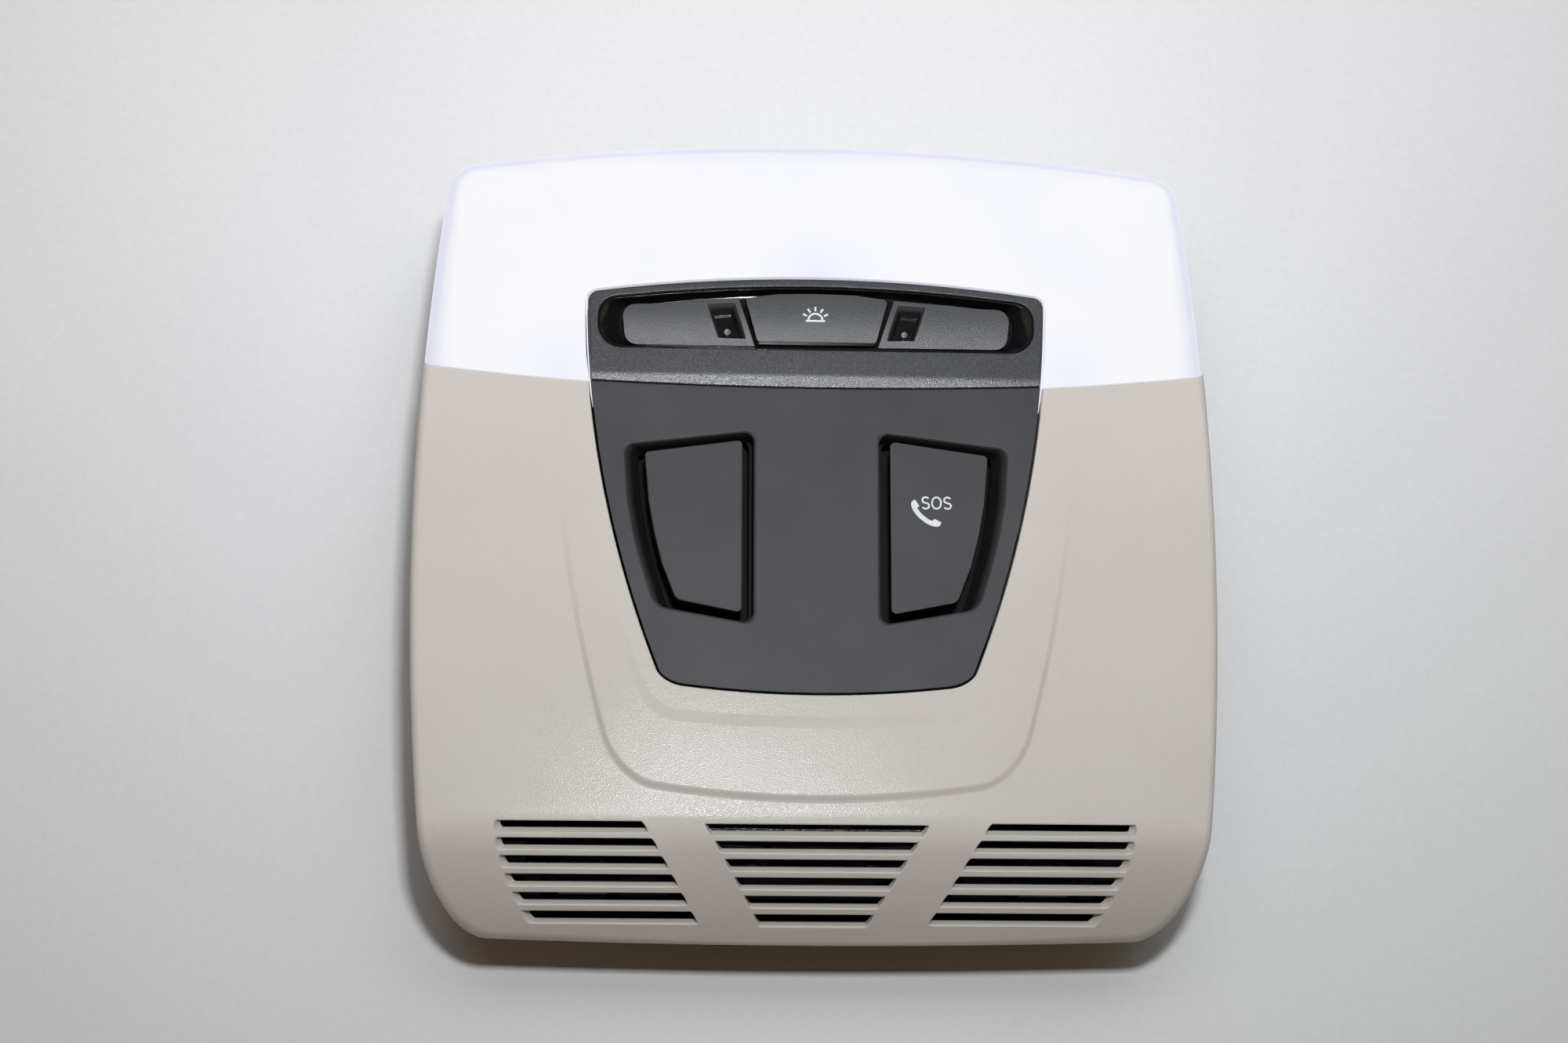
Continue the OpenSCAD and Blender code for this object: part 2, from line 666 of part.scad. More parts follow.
// Dome light button with its stem, and the switch below it
button_top = block_h + 0.3;
stem_low = face_h - 5;
button_crown = function (x) button_rear + 1.4 - bow(220, x);
button_edge = rounded([
    [-button_side(button_front), button_front, 0.8],
    [button_side(button_front), button_front, 0.8],
    [button_side(button_rear), button_rear, 1],
    for (x = [10:-5:-10]) [x, button_crown(x), 0],
    [-button_side(button_rear), button_rear, 1]], 4);
module dome_light_button() {
    color(coarse_black) {
        crowned(button_top)
            prism(button_edge, bezel_floor + dome_travel + 0.3, button_top + 1);
        block(-stem_w, stem_w, stem_y - stem_l, stem_y + stem_l, stem_low, bezel_floor + dome_travel + 0.4);
    }
}

switch_r = 1.6;
module tact_switch(x, y, z, body_h, bore_low) {
    difference() {
        block(x - 3.1, x + 3.1, y - 3.1, y + 3.1, z, z + body_h);
        translate([x, y, bore_low]) cylinder(r = switch_r + run_gap, h = 10, $fn = 32);
    }
}
module dome_switch() {
    color("dimgray") tact_switch(0, stem_y, switch_board_top, 3.3, switch_board_top + 0.6);
}
module dome_switch_plunger() {
    color("black") translate([0, stem_y, switch_board_top + 0.9 + dome_travel])
        cylinder(r = switch_r, h = stem_low - switch_board_top - 0.9 - dome_travel, $fn = 32);
}
module switch_board() {
    color("seagreen") difference() {
        prism(rounded([
            [8.2 - panel_w, trim_front, 2], [panel_w - 8.2, trim_front, 2],
            [panel_w - 8.2, panel_rear - 5.9, 2], [8.2 - panel_w, panel_rear - 5.9, 2]]),
            switch_board_low, switch_board_top);
        posts(board_posts, board_screw_r + 0.25, switch_board_low - 1, switch_board_top + 1);
    }
}
module board_screws() {
    color("silver") {
        posts(board_posts, 1.9, switch_board_low - 1.1, switch_board_low);
        posts(board_posts, board_screw_r, switch_board_low - eps, switch_board_low + 6);
    }
}

// Left tile: a dark window over its light box
tile_top = face_h - 0.4;
tub_floor = face_h - 14;
tub_wall = 1.6;
tub_gaps = [3.4, 3, 4.4, 3.4];
tub_hollow = [1.8, 1.4, 2.8, 1.8];
window_low = well_z + 0.4;
module tub_shell() {
    difference() {
        prism(tile_outline(tub_gaps, 3), tub_floor, well_z);
        prism(tile_outline(tub_hollow, 2), tub_floor + tub_wall, well_z + 1);
    }
}
module tile() {
    prism(tile_outline([0, 0, 0, 0], 1.2), tile_top - flap_t, tile_top);
}
module indicator_window() {
    color(dark_grey) mirror([1, 0, 0]) difference() {
        prism(tile_outline([0, 0, 0, 0], 1.2), window_low, tile_top);
        prism(tile_outline([-1.6, -1.6, -1.6, -1.6], 1), window_low - 1, tile_top - flap_t);
    }
}
module indicator_light_box() {
    color("gray") mirror([1, 0, 0]) {
        tub_shell();
        difference() {
            prism(tile_outline([0.1, 0.1, 0.1, 0.1], 1.2), tub_floor + tub_wall - eps, window_low);
            prism(tile_outline([-1.6, -1.6, -1.6, -1.6], 1), tub_floor + tub_wall, window_low + 1);
        }
    }
}

// Right tile: a hinged flap over the emergency call button
hinge_x = tile_in + 2;
hinge_z = tile_top - flap_t - 1.7;
knuckle_r = 1.35;
lug_spots = [tile_rear - 7.85, tile_front + 7.45];
lug_l = 4;
bracket_l = 3;
bracket_gap = 0.4;
module knuckle(y0, y1, low_z, high_z, pin_gap) {
    difference() {
        union() {
            translate([hinge_x, y1, hinge_z]) rotate([90, 0, 0])
                cylinder(r = knuckle_r, h = y1 - y0, $fn = 40);
            block(hinge_x - knuckle_r, hinge_x + knuckle_r, y0, y1, low_z, high_z);
        }
        translate([hinge_x, y1 + 1, hinge_z]) rotate([90, 0, 0])
            cylinder(r = hinge_pin_r + pin_gap, h = y1 - y0 + 2, $fn = 40);
    }
}
module call_flap() {
    color(dark_grey) {
        tile();
        for (y = lug_spots)
            knuckle(y - lug_l / 2, y + lug_l / 2, hinge_z, tile_top - flap_t + 0.2, run_gap);
    }
}
pin_rear = lug_spots[0] + lug_l / 2 + bracket_gap + bracket_l;
pin_front = lug_spots[1] - lug_l / 2 - bracket_gap - bracket_l;
module flap_hinge_pin() {
    color("silver") translate([hinge_x, pin_rear, hinge_z]) rotate([90, 0, 0])
        cylinder(r = hinge_pin_r, h = pin_rear - pin_front, $fn = 40);
}
call_x = (tile_in + tile_out) / 2;
call_y = 0;
call_top = face_h - 4.4;
call_switch_h = 2.6;
module call_button_tub() {
    color("gray") {
        tub_shell();
        knuckle(pin_rear - bracket_l, pin_rear, tub_floor + tub_wall - 0.2, hinge_z, 0.02);
        knuckle(pin_front, pin_front + bracket_l, tub_floor + tub_wall - 0.2, hinge_z, 0.02);
        translate([call_x, call_y, tub_floor + tub_wall - 0.2]) difference() {
            cylinder(r = call_button_r + 1.6, h = 6, $fn = 64);
            translate([0, 0, -1]) cylinder(r = call_button_r + 0.1, h = 8, $fn = 64);
        }
    }
}
call_button_h = 4.2;
call_button_low = call_top - call_button_h;
module call_button() {
    color("firebrick") translate([call_x, call_y, call_button_low])
        cylinder(r = call_button_r, h = call_button_h, $fn = 64);
}
call_board = tub_floor + tub_wall;
module call_switch() {
    color("dimgray") tact_switch(call_x, call_y, call_board, call_switch_h, call_board + 0.4);
}
module call_switch_plunger() {
    plunger_low = call_board + 0.6 + call_travel;
    color("black") translate([call_x, call_y, plunger_low])
        cylinder(r = switch_r, h = call_button_low - plunger_low, $fn = 32);
}

// Electronics in the rear housing
board_z = housing_h - 8;
parts_z = board_z + board_t;
board_side_room = 26;
board_rear_room = 14;
board_len = 94;
board_w = housing_w - board_side_room;
board_y = [housing_l - board_rear_room - board_len, housing_l - board_rear_room];
module main_board() {
    color("seagreen")
        prism(rounded([
            [-board_w, board_y[0], 3], [board_w, board_y[0], 3],
            [board_w, board_y[1], 3], [-board_w, board_y[1], 3]]), board_z, parts_z);
}
module board_parts() {
    color("black") {
        block(-12, 8, 4, 24, parts_z, parts_z + 1.6);
        block(20, 34, -10, 0, parts_z, parts_z + 2.2);
        block(-40, -30, 30, 44, parts_z, parts_z + 3);
        block(24, 46, 40, 52, parts_z, parts_z + 6);
        for (x = [-44, -32, 40, 50])
            translate([x, -12, parts_z]) cylinder(r = 4, h = 9, $fn = 32);
    }
}

socket_w = 18;
socket_low = board_z - 13;
socket_out = housing_l + 4;
socket_in = socket_out - 30;
socket_wall = 1.6;
module wiring_connector() {
    color("ivory") difference() {
        block(-socket_w, socket_w, socket_in, socket_out, socket_low, board_z);
        block(socket_wall - socket_w, socket_w - socket_wall, socket_in + 8, socket_out + 1,
            socket_low + socket_wall, board_z - socket_wall);
    }
}
socket_mid = (socket_low + board_z) / 2;
module connector_pins() {
    color("gold") for (x = [-14:4:14], z = [socket_mid - 2, socket_mid + 2])
        block(x - 0.4, x + 0.4, socket_in + 8, socket_in + 18, z - 0.4, z + 0.4);
}

function housing_outline(inset) =
    let (w = housing_w - inset, l = housing_l - inset, r = 12 - inset)
    rounded([[-w, -l, r], [w, -l, r], [w, l, r], [-w, l, r]], 6);
pin_spot = [housing_w + 5.5, housing_l - 24];
ear_low = housing_h - 10;
ear_t = 4;
clip_spots = [38, -34];
board_spots = [[board_w - 8, board_y[0] + 6], [board_w - 8, board_y[1] - 10]];
ledge_w = 1.6;
rib_h = 0.8;

// Four walls with an inner ledge that the back lid is screwed against
module rear_housing() {
    color("#2b2b2d") difference() {
        union() {
            prism(housing_outline(0), 0, housing_h);
            both_sides() for (y = [-64, -52, -10, 4, 18])
                block(housing_w - 1, housing_w + rib_h, y - 1, y + 1, 4, housing_h - 4);
            for (x = [-60:20:60])
                block(x - 1, x + 1, -housing_l - rib_h, 1 - housing_l, 4, housing_h - 4);
        }
        prism(housing_outline(housing_t + ledge_w), -1, housing_h + 1);
        prism(housing_outline(housing_t), -1, housing_t);
        prism(housing_outline(housing_t), 2 * housing_t, housing_h + 1);
        block(-socket_w - seam_gap, socket_w + seam_gap, housing_l - 10, housing_l + 10,
            socket_low - seam_gap, board_z + seam_gap);
    }
}

module housing_back() {
    color("#303032") difference() {
        union() {
            prism(housing_outline(housing_t + seam_gap), 0, housing_t);
            posts(screw_spots, screw_head_r + 2.2, 1, boss_bottom);
            posts(board_spots, 4, 1, board_z);
        }
        posts(screw_spots, screw_head_r + 0.6, -1, screw_seat);
        posts(screw_spots, screw_r + 0.35, screw_seat - 1, housing_h);
    }
}

// Shield that closes the overhang under the grilles, level with the top of the housing
shield_t = 2;
shield_gap = 0.8;
function shield_point(s) =
    let (o = outer_line(s)) o + unit(ridge_line(s) - o) * (cover_t + shield_gap);
module grille_shield() {
    half = [for (s = [1:1 / corner_steps:3]) shield_point(s)];
    color("#2b2b2d") intersection() {
        prism(concat(half, backwards(mirrored([for (i = [0:len(half) - 2]) half[i]]))),
            housing_h - shield_t, housing_h);
        block(-half_w, half_w, -front_reach, -housing_l, 0, housing_h);
    }
}

// Bracket on each side wall with the pin that finds its hole in the roof frame
module pin_bracket() {
    block(housing_w, housing_w + 2, pin_spot[1] - 8, pin_spot[1] + 8, ear_low, ear_low + 8);
    block(housing_w + 1, pin_spot[0], pin_spot[1] - 5, pin_spot[1] + 5, ear_low, ear_low + ear_t);
    translate([pin_spot[0], pin_spot[1], ear_low]) cylinder(r = 5, h = ear_t, $fn = 48);
    translate([pin_spot[0], pin_spot[1], ear_low - locating_pin_l])
        cylinder(r = locating_pin_r, h = locating_pin_l + 1, $fn = 48);
}
module pin_bracket_left() {
    color("#2b2b2d") mirror([1, 0, 0]) pin_bracket();
}
module pin_bracket_right() {
    color("#2b2b2d") pin_bracket();
}

module cover_screws() {
    color("silver") {
        posts(screw_spots, screw_head_r, screw_seat - 2.2, screw_seat);
        posts(screw_spots, screw_r, screw_seat - eps, screw_seat + screw_l);
    }
}

// Formed steel clips on the housing walls
clip_line = [
    [0, 6], [0.6, 6], [0.6, 10], [6.4, 17], [3, 26], [0.6, 28.4], [0, 28.4],
    [0, 27.8], [2.4, 25.6], [5.7, 17.1], [0.3, 10.6], [0, 10.6]];
module spring_clips() {
    color("lightsteelblue") both_sides() for (y = clip_spots)
        translate([housing_w, y + 7, 0]) rotate([90, 0, 0]) linear_extrude(14) polygon(clip_line);
}

// Distance sensors behind the side grilles, tilted square to the slanted front
sensor_x = 57;
sensor_tilt = 38;
sensor_y = 15.6 - front_reach;
sensor_z = under_z(sensor_y) - 6;
sensor_r = 8;
sensor_back = 4.6;
cup_floor = 0.8;
module sensor_place() {
    translate([sensor_x, sensor_y, sensor_z]) rotate([sensor_tilt, 0, 0]) children();
}
module sensor() {
    sensor_place() {
        translate([0, 0, -sensor_back]) cylinder(r = sensor_r, h = sensor_back + 2, $fn = 48);
        translate([0, 0, 2]) cylinder(r = sensor_r - 1.4, h = 0.8, $fn = 48);
    }
}
module sensor_left() {
    color("#20242c") mirror([1, 0, 0]) sensor();
}
module sensor_right() {
    color("#20242c") sensor();
}
module sensor_holder() {
    difference() {
        union() {
            sensor_place() translate([0, 0, -sensor_back - cup_floor])
                cylinder(r = sensor_r + 1.6, h = sensor_back + cup_floor + 1, $fn = 48);
            block(sensor_x - 7, sensor_x + 7, -housing_l, sensor_y + 16.5, housing_h, sensor_z);
        }
        sensor_place() translate([0, 0, -sensor_back]) cylinder(r = sensor_r + 0.1, h = 20, $fn = 48);
    }
}
module sensor_holder_left() {
    color("#2b2b2d") mirror([1, 0, 0]) sensor_holder();
}
module sensor_holder_right() {
    color("#2b2b2d") sensor_holder();
}

// Microphones behind the centre grille
mic_y = -slot_reach - 0.7;
mic_z = under_z(mic_y - 4.6) - 1.3;
module microphone_holder() {
    color("#2b2b2d") difference() {
        union() {
            block(-14, 14, -housing_l, mic_y + 4, housing_h, housing_h + 3);
            block(-11, 11, mic_y - 4.6, mic_y + 4, housing_h + 3 - eps, mic_z);
        }
        for (x = [-6, 6]) translate([x, mic_y, mic_z - 3]) cylinder(r = 3.1, h = 10, $fn = 32);
    }
}
module microphones() {
    color("silver") for (x = [-6, 6]) translate([x, mic_y, mic_z - 3]) cylinder(r = 3, h = 3.6, $fn = 32);
}

front_cover();
dome_lens();
reflector_tray();
led_board_left();
led_board_right();
dome_leds();
fascia_panel();
switch_block();
gloss_bezel();
trim_left();
trim_right();
light_pipe_left();
light_pipe_right();
dome_light_button();
dome_switch();
dome_switch_plunger();
switch_board();
board_screws();
indicator_window();
indicator_light_box();
call_flap();
flap_hinge_pin();
call_button_tub();
call_button();
call_switch();
call_switch_plunger();
main_board();
board_parts();
wiring_connector();
connector_pins();
rear_housing();
housing_back();
grille_shield();
pin_bracket_left();
pin_bracket_right();
sensor_left();
sensor_right();
sensor_holder_left();
sensor_holder_right();
microphone_holder();
microphones();
spring_clips();
cover_screws();
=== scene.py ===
import bpy
import bmesh
import math
from mathutils import Matrix, Vector


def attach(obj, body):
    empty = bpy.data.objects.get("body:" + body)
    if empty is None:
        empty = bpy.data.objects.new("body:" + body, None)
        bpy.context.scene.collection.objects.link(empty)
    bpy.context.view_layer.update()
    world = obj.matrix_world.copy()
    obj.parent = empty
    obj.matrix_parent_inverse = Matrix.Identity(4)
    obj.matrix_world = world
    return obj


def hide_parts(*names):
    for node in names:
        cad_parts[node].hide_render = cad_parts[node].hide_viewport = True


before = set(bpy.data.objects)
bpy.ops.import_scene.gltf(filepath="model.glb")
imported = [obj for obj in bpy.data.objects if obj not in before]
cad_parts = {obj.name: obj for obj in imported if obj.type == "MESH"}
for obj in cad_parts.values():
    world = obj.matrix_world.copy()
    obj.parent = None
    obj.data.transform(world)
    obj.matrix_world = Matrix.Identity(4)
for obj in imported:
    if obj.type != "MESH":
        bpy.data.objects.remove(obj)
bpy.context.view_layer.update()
scene = bpy.context.scene
mm = 0.001

# view and light

view = {"place": (-0.044047, -0.169516, 0.739301), "tilt": 14.0, "lean": -2.913, "roll": 0.778,
        "lens": 64.8, "sensor": 36, "nearest": 0.01}


def placeCamera():
    data = bpy.data.cameras.new("roofViewCamera")
    data.lens = view["lens"]
    data.sensor_width = view["sensor"]
    data.clip_start = view["nearest"]
    camera = bpy.data.objects.new("roofViewCamera", data)
    turn = (Matrix.Rotation(math.radians(view["tilt"]), 4, "X")
            @ Matrix.Rotation(math.radians(view["lean"]), 4, "Y")
            @ Matrix.Rotation(math.radians(view["roll"]), 4, "Z"))
    camera.matrix_world = Matrix.Translation(view["place"]) @ turn
    scene.collection.objects.link(camera)
    scene.camera = camera


lamps = {"flash": {"place": (0, -0.003, 0.78), "aim": (0, -0.01, 0), "size": (0.05, 0.04),
                   "power": 3.2, "tint": (0.93, 0.958, 1.0), "spread": 180,
                   "mirrored": True},
         "rearBank": {"place": (0, 0.20, 0.60), "aim": (0, 0.20, 0), "size": (0.6, 0.3),
                      "power": 0.62, "tint": (1.0, 0.96, 1.0), "spread": 75, "mirrored": False},
         "roomFill": {"place": (0.25, 0.75, 0.9), "aim": (0, 0, 0.02), "size": (1.1, 0.8),
                      "power": 1.5, "tint": (0.50, 0.88, 1.0), "spread": 180, "mirrored": True}}
room = {"side": (0.30, 0.23, 0.165), "front": (0.035, 0.021, 0.009)}


def hangLamps():
    for name, lamp in lamps.items():
        data = bpy.data.lights.new(name, "AREA")
        data.shape = "RECTANGLE"
        data.size, data.size_y = lamp["size"]
        data.energy = lamp["power"]
        data.color = lamp["tint"]
        data.spread = math.radians(lamp["spread"])
        light = bpy.data.objects.new(name, data)
        light.visible_glossy = lamp["mirrored"]  # the bank is too wide to mirror in gloss
        reach = Vector(lamp["aim"]) - Vector(lamp["place"])
        light.matrix_world = (Matrix.Translation(lamp["place"])
                              @ reach.to_track_quat("-Z", "Y").to_matrix().to_4x4())
        scene.collection.objects.link(light)


def paintRoom():
    world = bpy.data.worlds.new("paleRoom")
    world.use_nodes = True
    tree = world.node_tree
    way = tree.nodes.new("ShaderNodeTexCoord").outputs["Generated"]
    axes = tree.nodes.new("ShaderNodeSeparateXYZ")
    tree.links.new(way, axes.inputs[0])
    squared = tree.nodes.new("ShaderNodeMath")  # the sides of the room are brighter
    squared.operation = "MULTIPLY"
    for socket in squared.inputs[:2]:
        tree.links.new(axes.outputs["X"], socket)
    blend = tree.nodes.new("ShaderNodeMix")
    blend.data_type = "RGBA"
    tree.links.new(squared.outputs[0], blend.inputs[0])
    blend.inputs[6].default_value = room["front"] + (1,)
    blend.inputs[7].default_value = room["side"] + (1,)
    tree.links.new(blend.outputs[2], tree.nodes["Background"].inputs[0])
    scene.world = world
    scene.view_settings.view_transform = "Standard"


placeCamera()
hangLamps()
paintRoom()
print("camera and lamps are up")

# finishes


def startFinish(name):
    mat = bpy.data.materials.new(name)
    mat.use_nodes = True
    tree = mat.node_tree
    tree.nodes.clear()
    out = tree.nodes.new("ShaderNodeOutputMaterial")
    shader = tree.nodes.new("ShaderNodeBsdfPrincipled")
    tree.links.new(shader.outputs["BSDF"], out.inputs["Surface"])
    spot = tree.nodes.new("ShaderNodeTexCoord").outputs["Object"]
    return mat, tree, shader, spot


def speckle(tree, spot, size, detail=2, rough=0.55):
    node = tree.nodes.new("ShaderNodeTexNoise")  # size is in metres
    node.inputs["Scale"].default_value = 1 / size
    node.inputs["Detail"].default_value = detail
    node.inputs["Roughness"].default_value = rough
    tree.links.new(spot, node.inputs["Vector"])
    return node.outputs["Fac"]


def pebbles(tree, spot, size):
    node = tree.nodes.new("ShaderNodeTexVoronoi")
    node.inputs["Scale"].default_value = 1 / size
    tree.links.new(spot, node.inputs["Vector"])
    return node.outputs["Distance"]


def stretched(tree, spot, scale):
    node = tree.nodes.new("ShaderNodeMapping")
    node.inputs["Scale"].default_value = scale
    tree.links.new(spot, node.inputs["Vector"])
    return node.outputs["Vector"]


def spread(tree, value, low, high, toLow=0.0, toHigh=1.0):
    node = tree.nodes.new("ShaderNodeMapRange")
    for socket, number in zip(("From Min", "From Max", "To Min", "To Max"),
                              (low, high, toLow, toHigh)):
        node.inputs[socket].default_value = number
    tree.links.new(value, node.inputs["Value"])
    return node.outputs["Result"]


def mixed(tree, share, first, second):
    node = tree.nodes.new("ShaderNodeMix")
    node.data_type = "RGBA"
    tree.links.new(share, node.inputs[0])
    for index, value in ((6, first), (7, second)):
        if isinstance(value, tuple):
            node.inputs[index].default_value = value + (1,)
        else:
            tree.links.new(value, node.inputs[index])
    return node.outputs[2]


def combined(tree, how, first, second):
    node = tree.nodes.new("ShaderNodeMath")
    node.operation = how
    for index, value in enumerate((first, second)):
        if isinstance(value, (int, float)):
            node.inputs[index].default_value = value
        else:
            tree.links.new(value, node.inputs[index])
    return node.outputs[0]


def relief(tree, shader, height, depth):
    node = tree.nodes.new("ShaderNodeBump")
    node.inputs["Distance"].default_value = depth
    tree.links.new(height, node.inputs["Height"])
    tree.links.new(node.outputs["Normal"], shader.inputs["Normal"])
    return node.outputs["Normal"]


noiseBand = (0.3, 0.7)  # where most of a noise's values lie
# the last colour is painted shade, mixed into a finish's recesses by its deep band
common = {"shine": 0.5, "coat": 0.0, "coatRough": 0.03, "fineShare": 0.6, "granular": False,
          "colourBand": (0.35, 0.65), "paintedShadeColour": (0.004, 0.004, 0.004)}


def axesOf(tree, spot):
    axes = tree.nodes.new("ShaderNodeSeparateXYZ")
    tree.links.new(spot, axes.inputs[0])
    return axes.outputs


def mouldedPlastic(name, ownLook):
    look = {**common, **ownLook}
    mat, tree, shader, spot = startFinish(name)
    fine = speckle(tree, spot, look["grain"], detail=3, rough=0.6)
    wide = speckle(tree, spot, look["cloud"], detail=3)
    share = combined(tree, "ADD", combined(tree, "MULTIPLY", fine, look["fineShare"]),
                     combined(tree, "MULTIPLY", wide, 1 - look["fineShare"]))
    base = mixed(tree, spread(tree, share, *look["colourBand"]), look["dark"], look["light"])
    if "deep" in look:  # painted shade: recesses get darker with their depth
        top, low, most = look["deep"]
        paintedShadeShare = spread(tree, axesOf(tree, spot)["Z"], low, top, most, 0)
        base = mixed(tree, paintedShadeShare, base, look["paintedShadeColour"])
    tree.links.new(base, shader.inputs["Base Color"])
    tree.links.new(spread(tree, fine, *noiseBand, *look["rough"]), shader.inputs["Roughness"])
    height = pebbles(tree, spot, look["grain"]) if look["granular"] else fine
    bumped = relief(tree, shader, height, look["grain"] * look["relief"])
    tree.links.new(bumped, shader.inputs["Coat Normal"])
    shader.inputs["Specular IOR Level"].default_value = look["shine"]
    shader.inputs["Coat Weight"].default_value = look["coat"]
    shader.inputs["Coat Roughness"].default_value = look["coatRough"]
    return mat


def litLens(name, look):
    mat, tree, shader, spot = startFinish(name)
    axes = axesOf(tree, spot)
    across = combined(tree, "ABSOLUTE", axes["X"], 0)
    faded = spread(tree, across, *look["sideFade"])
    for axis, fade in (("Y", "rearFade"), ("Z", "lowFade"), ("Z", "lipFade")):
        faded = combined(tree, "MAXIMUM", faded, spread(tree, axes[axis], *look[fade]))
    for x, y, reach, share in look["dimSpots"]:  # between and below the two boards
        offset = tree.nodes.new("ShaderNodeCombineXYZ")
        tree.links.new(combined(tree, "SUBTRACT", across, x), offset.inputs[0])
        tree.links.new(combined(tree, "SUBTRACT", axes["Y"], y), offset.inputs[1])
        length = tree.nodes.new("ShaderNodeVectorMath")
        length.operation = "LENGTH"
        tree.links.new(offset.outputs[0], length.inputs[0])
        dim = spread(tree, length.outputs["Value"], 0, reach, share, 0)
        faded = combined(tree, "MAXIMUM", faded, dim)
    cloud = spread(tree, speckle(tree, spot, look["cloud"]), *look["cloudy"])
    clamp = tree.nodes.new("ShaderNodeClamp")
    tree.links.new(combined(tree, "ADD", faded, cloud), clamp.inputs[0])
    glow = mixed(tree, clamp.outputs[0], look["core"], look["edge"])
    tree.links.new(glow, shader.inputs["Emission Color"])
    shader.inputs["Emission Strength"].default_value = look["strength"]
    shader.inputs["Base Color"].default_value = look["body"] + (1,)
    shader.inputs["Roughness"].default_value = look["rough"]
    relief(tree, shader, speckle(tree, spot, look["grain"]), look["relief"])
    return mat


metal = {"grain": 0.0006, "stretch": (1, 6, 1), "dim": 0.7, "rough": (0.25, 0.42),
         "relief": 0.00002}


def metalSkin(name, tint):
    mat, tree, shader, spot = startFinish(name)
    brushed = speckle(tree, stretched(tree, spot, metal["stretch"]), metal["grain"], detail=3)
    dim = tuple(metal["dim"] * c for c in tint)
    tree.links.new(mixed(tree, brushed, dim, tint), shader.inputs["Base Color"])
    tree.links.new(spread(tree, brushed, *noiseBand, *metal["rough"]),
                   shader.inputs["Roughness"])
    shader.inputs["Metallic"].default_value = 1.0
    relief(tree, shader, brushed, metal["relief"])
    return mat


board = {"blocks": 120, "track": 0.035, "dim": 0.75, "trackLift": (0.06, 0.12, 0.04),
         "padPitch": 0.0042, "padEdge": (0.10, 0.13), "pad": (0.62, 0.55, 0.36),
         "rough": (0.42, 0.28), "relief": 0.00003}


def circuitBoard(name, tint):
    mat, tree, shader, spot = startFinish(name)
    bricks = tree.nodes.new("ShaderNodeTexBrick")
    tree.links.new(spot, bricks.inputs["Vector"])
    track = tuple(c + lift for c, lift in zip(tint, board["trackLift"]))
    for socket, value in (("Scale", board["blocks"]), ("Mortar Size", board["track"]),
                          ("Color1", tint + (1,)), ("Mortar", track + (1,)),
                          ("Color2", tuple(board["dim"] * c for c in tint) + (1,))):
        bricks.inputs[socket].default_value = value
    pads = spread(tree, pebbles(tree, spot, board["padPitch"]), *board["padEdge"], 1, 0)
    tree.links.new(mixed(tree, pads, bricks.outputs["Color"], board["pad"]),
                   shader.inputs["Base Color"])
    tree.links.new(spread(tree, pads, 0, 1, *board["rough"]), shader.inputs["Roughness"])
    relief(tree, shader, bricks.outputs["Fac"], board["relief"])
    return mat


glass = {"haze": 0.004, "lift": 1.8, "rough": (0.06, 0.16), "coatRough": 0.05, "shine": 0.8,
         "mirror": (0.45, 0.6, 1.0, 1), "relief": 0.00001}


def darkGlass(name, tint):
    mat, tree, shader, spot = startFinish(name)
    haze = speckle(tree, spot, glass["haze"], detail=3)
    light = tuple(glass["lift"] * c for c in tint)
    tree.links.new(mixed(tree, haze, tint, light), shader.inputs["Base Color"])
    tree.links.new(spread(tree, haze, *noiseBand, *glass["rough"]), shader.inputs["Roughness"])
    shader.inputs["Coat Weight"].default_value = 1.0
    shader.inputs["Coat Roughness"].default_value = glass["coatRough"]
    shader.inputs["Specular IOR Level"].default_value = glass["shine"]
    shader.inputs["Specular Tint"].default_value = glass["mirror"]
    relief(tree, shader, haze, glass["relief"])
    return mat


